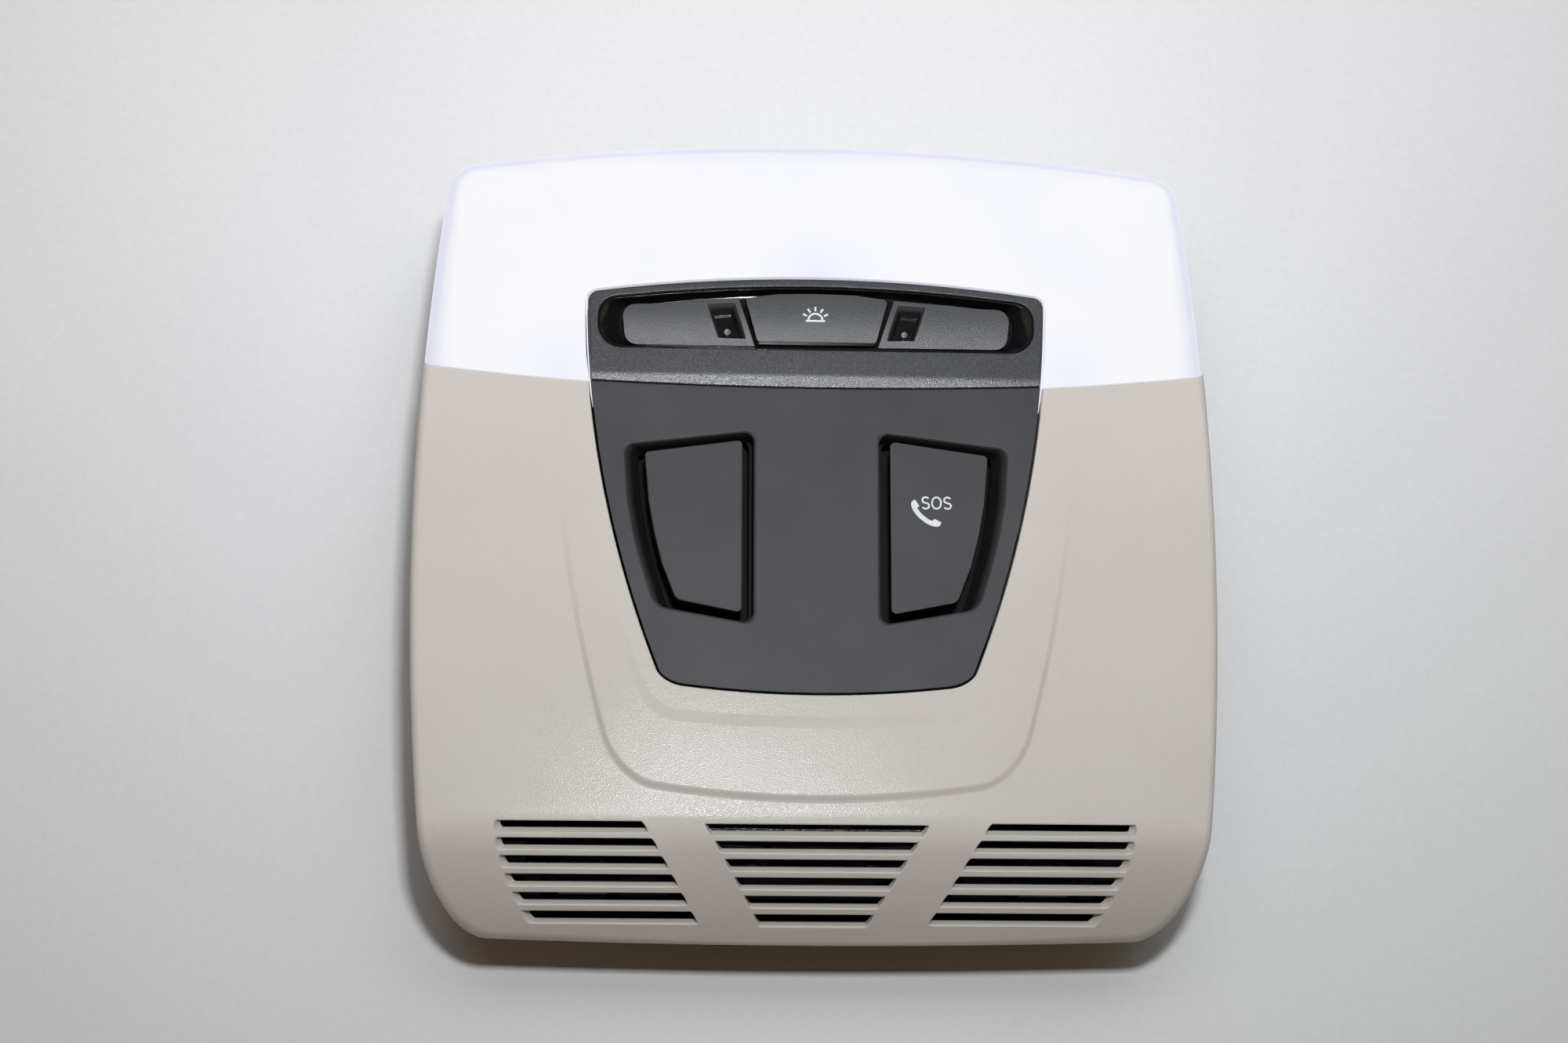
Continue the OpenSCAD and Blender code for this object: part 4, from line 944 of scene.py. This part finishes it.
    cut = new("GeometryNodeMeshBoolean")
    cut.operation = "DIFFERENCE"
    cut.solver = "MANIFOLD"
    join(entry.outputs["Geometry"], cut.inputs["Mesh 1"])
    join(move.outputs["Geometry"], cut.inputs["Mesh 2"])
    whole = new("GeometryNodeRealizeInstances")
    paint = new("GeometryNodeSetMaterial")
    join(cut.outputs["Mesh"], whole.inputs["Geometry"])
    join(whole.outputs["Geometry"], paint.inputs["Geometry"])
    join(entry.outputs["Finish"], paint.inputs["Material"])
    join(paint.outputs["Geometry"], leave.inputs["Geometry"])
    return tree


def cutGrilles(piece):
    tree = louvreTree()
    sockets = {item.name: item.identifier for item in tree.interface.items_tree
               if item.in_out == "INPUT"}
    for name, ends in grilleEnds.items():
        cutter = piece.modifiers.new(name, "NODES")
        cutter.node_group = tree
        for key, value in {**grille, **ends, "Finish": finishes["beige"]}.items():
            cutter[sockets[key]] = value


def buildCover():
    piece = turnOut(coverShell())
    cutter = notchCutter()
    trim = piece.modifiers.new("lensNotch", "BOOLEAN")
    trim.operation = "DIFFERENCE"
    trim.object = cutter
    trim.solver = "MANIFOLD"
    cutGrilles(piece)
    plain(piece, cover["smooth"])
    bpy.data.objects.remove(cutter)
    weigh(piece)
    finishPiece(piece, "lamp_unit", ["front_cover"], "beige")
    print("front cover has", len(piece.data.polygons), "faces")


buildCover()

# lens lips

lip = {"from": 59.5, "to": 30.4, "near": 0.12, "wide": 0.34, "top": 55.45, "deep": 1.6,
       "parts": 30, "narrow": 0.7, "taper": 0.15}


def layLips():  # the lens's thin lip beside the block
    for name, side in (("lensLipLeft", -1), ("lensLipRight", 1)):
        rings = []
        for f in steps(lip["parts"]):
            y = lip["from"] + (lip["to"] - lip["from"]) * f
            near = panelX(y) + lip["near"]
            thin = lip["narrow"] * ease((f - 1 + lip["taper"]) / lip["taper"])
            far = near + lip["wide"] * (1 - thin)
            low = lip["top"] - lip["deep"]
            rings.append([(side * x, y, z) for x, z in (
                (near, low), (far, low), (far, lip["top"]), (near, lip["top"]))])
        piece = turnOut(loftPiece(name, rings))
        finishPiece(piece, "lamp_unit", [], "lens")


layLips()

# behind the grilles

strip = {"outlines": (((-28, -78), (28, -78), (28, -75.7), (7, -75.6), (6.7, -76.9),
                       (4.3, -76.9), (4.1, -75.7), (1, -75.6), (-5, -75.7), (-5.2, -76.9),
                       (-7.5, -76.9), (-7.8, -75.7), (-18, -75.5), (-28, -75.7)),
                      ((-27.5, -82), (-11, -82), (-13, -79.9), (-17, -79.6), (-27.5, -79.4)),
                      ((11, -82), (26, -82), (25, -79.5), (17, -79.6), (13, -79.9)),
                      ((-22.5, -85.8), (-15, -85.8), (-17, -84.1), (-22.5, -83.9)),
                      ((14, -85.8), (22, -85.8), (21.6, -83.9), (17, -84.1))),
         "under": 0.9, "thick": 1.4, "part": 0.6}
eye = {"x": 51.3, "y": -79.7, "radii": (2.9, 0.8, 0.6), "lift": 1.7, "tilt": 38.0,
       "sensorY": -86.5, "sensorDrop": 6.0, "around": 32, "down": 20}


def layStrip():
    bm = bmesh.new()
    for corners in strip["outlines"]:
        outline = []
        for i, (x, y) in enumerate(corners):  # short steps, so that it follows the bend
            endX, endY = corners[(i + 1) % len(corners)]
            parts = max(1, round(abs(endY - y) / strip["part"]))
            outline += [(x + (endX - x) * k / parts, y + (endY - y) * k / parts)
                        for k in range(parts)]
        rings = [[bm.verts.new(Vector((x, y, underZ(y) - strip["under"] - drop)) * mm)
                  for x, y in outline] for drop in (strip["thick"], 0)]
        wallBetween(bm, *rings)
        for ring in rings:
            fillRing(bm, ring)
    meshPiece("microphoneStrip", bm, "lamp_unit", "rough")


def setEyes():  # flat glass domes on the two sensors
    tilt = math.radians(eye["tilt"])
    turn = Matrix.Rotation(tilt, 4, "X")
    top = underZ(eye["sensorY"]) - eye["sensorDrop"]
    ahead = (eye["y"] - eye["sensorY"]) / math.cos(tilt)
    for name, side in (("eyeLeft", -1), ("eyeRight", 1)):
        spot = (Vector((side * eye["x"], eye["sensorY"], top))
                + turn @ Vector((0, ahead, eye["lift"])))
        shape = (Matrix.Translation(spot * mm) @ turn
                 @ Matrix.Diagonal(Vector(eye["radii"] + (1,))))
        bm = bmesh.new()
        rings = []
        for lean in steps(eye["down"], 0, math.pi)[1:-1]:
            rings.append([bm.verts.new(shape @ (Vector((
                math.sin(lean) * math.cos(a), math.sin(lean) * math.sin(a),
                math.cos(lean))) * mm)) for a in steps(eye["around"], 0, 2 * math.pi)[:-1]])
        for upper, lower in zip(rings, rings[1:]):
            wallBetween(bm, lower, upper)
        for ring, end in ((rings[0], mm), (rings[-1], -mm)):
            pole = bm.verts.new(shape @ Vector((0, 0, end)))
            for i in range(len(ring)):
                bm.faces.new((pole, ring[i - 1], ring[i]))
        meshPiece(name, bm, "lamp_unit", "glass").data.shade_smooth()


layStrip()
setEyes()

screen = {"wall": 82.5, "away": 2.5, "low": 30.1, "high": 34, "front": -96, "back": -44,
          "turn": -86, "taper": 0.35, "rib": 1.6, "top": 53.2, "parts": 20,
          "corner": 71.5, "step": -76}
riser = {"inner": 82.5, "outer": 83.9, "back": 28, "low": 30.1}


def screenPiece(name, outline, low, high):
    bm = bmesh.new()
    rings = [[bm.verts.new(Vector((x, y, z)) * mm) for x, y in outline] for z in (low, high)]
    wallBetween(bm, *rings)
    bm.faces.new(rings[0][::-1])
    bm.faces.new(rings[1])
    meshPiece(name, bm, "lamp_unit", "blackAndShade")


def closeSides():  # painted shade: black sheets inside the cover, so that no floor shows through the grilles
    for end, side in (("Left", -1), ("Right", 1)):
        for part, front, low, high in (
                ("Shelf", screen["front"], screen["low"], screen["high"]),
                ("Rib", screen["back"] - screen["rib"], screen["high"], screen["top"])):
            line = [front + (screen["back"] - front) * f for f in steps(screen["parts"])]
            inside = [(screen["wall"], screen["back"]), (screen["wall"], front)]
            if part == "Shelf":  # over the round corner of the housing
                inside[1:] = [(screen["wall"], screen["step"]),
                              (screen["corner"], screen["step"]), (screen["corner"], front)]
            outside = [(sideX(y) - screen["away"]
                        - max(0, screen["turn"] - y) * screen["taper"], y) for y in line]
            outline = [(side * x, y) for x, y in inside + outside]
            screenPiece("side" + part + end, outline, low, high)
        corners = [(side * x, y) for x, y in (
            (riser["inner"], screen["back"]), (riser["outer"], screen["back"]),
            (riser["outer"], riser["back"]), (riser["inner"], riser["back"]))]
        screenPiece("sideRiser" + end, corners, riser["low"], screen["top"])


closeSides()
print("strip, sensor eyes and side screens are in")

# printed signs

callPrint = {"top": 55.6, "letterTop": 7.95, "letterBase": 4.55, "stroke": 0.43, "ink": 0.02,
             "letters": ((27.4, "S", 1.1), (30.15, "O", 1.35), (32.9, "S", 1.1)),
             "hooks": (0.92, (28, 235), (55, -152)), "handset": (27.7, 3.8), "turn": -41.5,
             "back": (4.65, 2.06, -0.3), "grip": ((4.4, 0.5), (2.5, 0.0), (2.52, -0.76),
                                                  (1.3, -1.1), (0, -1.18))}
lampPrint = {"centre": (-0.35, 53.15), "radius": 1.8, "base": 2.45, "stroke": 0.5, "rayIn": 2.45,
             "rayOut": 3.6, "rays": (28, 58, 90, 122, 152), "ink": 0.02,
             "crown": 51.0, "crownY": 54.6, "top": 57.6}


def inkShape(bm, outline, heightAt, ink):
    rings = [[bm.verts.new(Vector((x, y, heightAt(x, y) + lift)) * mm) for x, y in outline]
             for lift in (-ink, ink)]
    wallBetween(bm, *rings)
    for ring in rings:
        fillRing(bm, ring)


def inkStroke(bm, path, width, heightAt, ink, closed=False):
    count = len(path)
    rails = []
    for i, point in enumerate(path):
        before = path[i - 1] if i or closed else path[0]
        after = path[(i + 1) % count] if i < count - 1 or closed else path[-1]
        way = (Vector(after) - Vector(before)).normalized()
        side = Vector((-way.y, way.x)) * width / 2
        point = Vector(point)
        corners = []
        for foot in (point + side, point - side):
            for lift in (-ink, ink):
                corners.append(bm.verts.new(
                    Vector((foot.x, foot.y, heightAt(foot.x, foot.y) + lift)) * mm))
        rails.append(corners)
    for i in range(count if closed else count - 1):
        a, b = rails[i], rails[(i + 1) % count]
        for k, m in ((0, 1), (1, 3), (3, 2), (2, 0)):
            bm.faces.new((a[k], b[k], b[m], a[m]))
    if not closed:
        bm.faces.new((rails[0][0], rails[0][1], rails[0][3], rails[0][2]))
        bm.faces.new((rails[-1][0], rails[-1][2], rails[-1][3], rails[-1][1]))


def arc(centre, radii, start, end, count=18):
    return [(centre[0] + radii[0] * math.cos(math.radians(a)),
             centre[1] + radii[1] * math.sin(math.radians(a))) for a in steps(count, start, end)]


def printCallSign():
    bm = bmesh.new()
    look = callPrint

    def flat(x, y):
        return look["top"]

    middle = (look["letterTop"] + look["letterBase"]) / 2
    half = (look["letterTop"] - look["letterBase"] - look["stroke"]) / 2
    narrow, upperHook, lowerHook = look["hooks"]
    for x, letter, wide in look["letters"]:
        wide -= look["stroke"] / 2
        if letter == "O":
            path = arc((x, middle), (wide, half), 0, 360, 40)[:-1]
        else:
            path = arc((x, middle + half / 2), (wide * narrow, half / 2), *upperHook)
            path += arc((x, middle - half / 2), (wide, half / 2), *lowerHook)
        inkStroke(bm, path, look["stroke"], flat, look["ink"], letter == "O")
    turn = math.radians(look["turn"])
    reach, bulge, low = look["back"]
    grip = look["grip"]
    outline = []
    for x, y in (arc((0, low), (reach, bulge), 0, -180, 28) + [(-x, y) for x, y in grip]
                 + list(grip[-2::-1])):
        outline.append((look["handset"][0] + x * math.cos(turn) - y * math.sin(turn),
                        look["handset"][1] + x * math.sin(turn) + y * math.cos(turn)))
    inkShape(bm, outline, flat, look["ink"])
    meshPiece("callSign", bm, "call_lid", "print")


def printLampSign():
    bm = bmesh.new()
    look = lampPrint
    x, y = look["centre"]

    def crown(px, py):
        return look["top"] - bow(look["crown"], py - look["crownY"])

    width = look["stroke"]
    paths = [arc((x, y), (look["radius"], look["radius"]), 0, 180, 24),
             [(x + look["base"] * f, y - width / 4) for f in steps(6, -1, 1)]]
    for a in look["rays"]:
        way = Vector((math.cos(math.radians(a)), math.sin(math.radians(a))))
        paths.append([tuple(Vector((x, y)) + way * r)
                      for r in steps(3, look["rayIn"], look["rayOut"])])
    for path in paths:
        inkStroke(bm, path, width, crown, look["ink"])
    meshPiece("lampSign", bm, "dome_button", "print")


printCallSign()
printLampSign()
print("signs are printed")

# floor

table = {"half": 1.6, "top": {
    "grain": 0.002, "cloud": 0.25, "dark": (0.66, 0.665, 0.66), "light": (0.70, 0.705, 0.70),
    "rough": (0.5, 0.6), "relief": 0.01, "shine": 0.3}}


def layTable():
    half = table["half"]
    mesh = bpy.data.meshes.new("paleTable")
    mesh.from_pydata([(-half, -half, 0), (half, -half, 0), (half, half, 0), (-half, half, 0)],
                     [], [(0, 1, 2, 3)])
    mesh.materials.append(mouldedPlastic("tableTop", table["top"]))
    link("paleTable", mesh)


layTable()
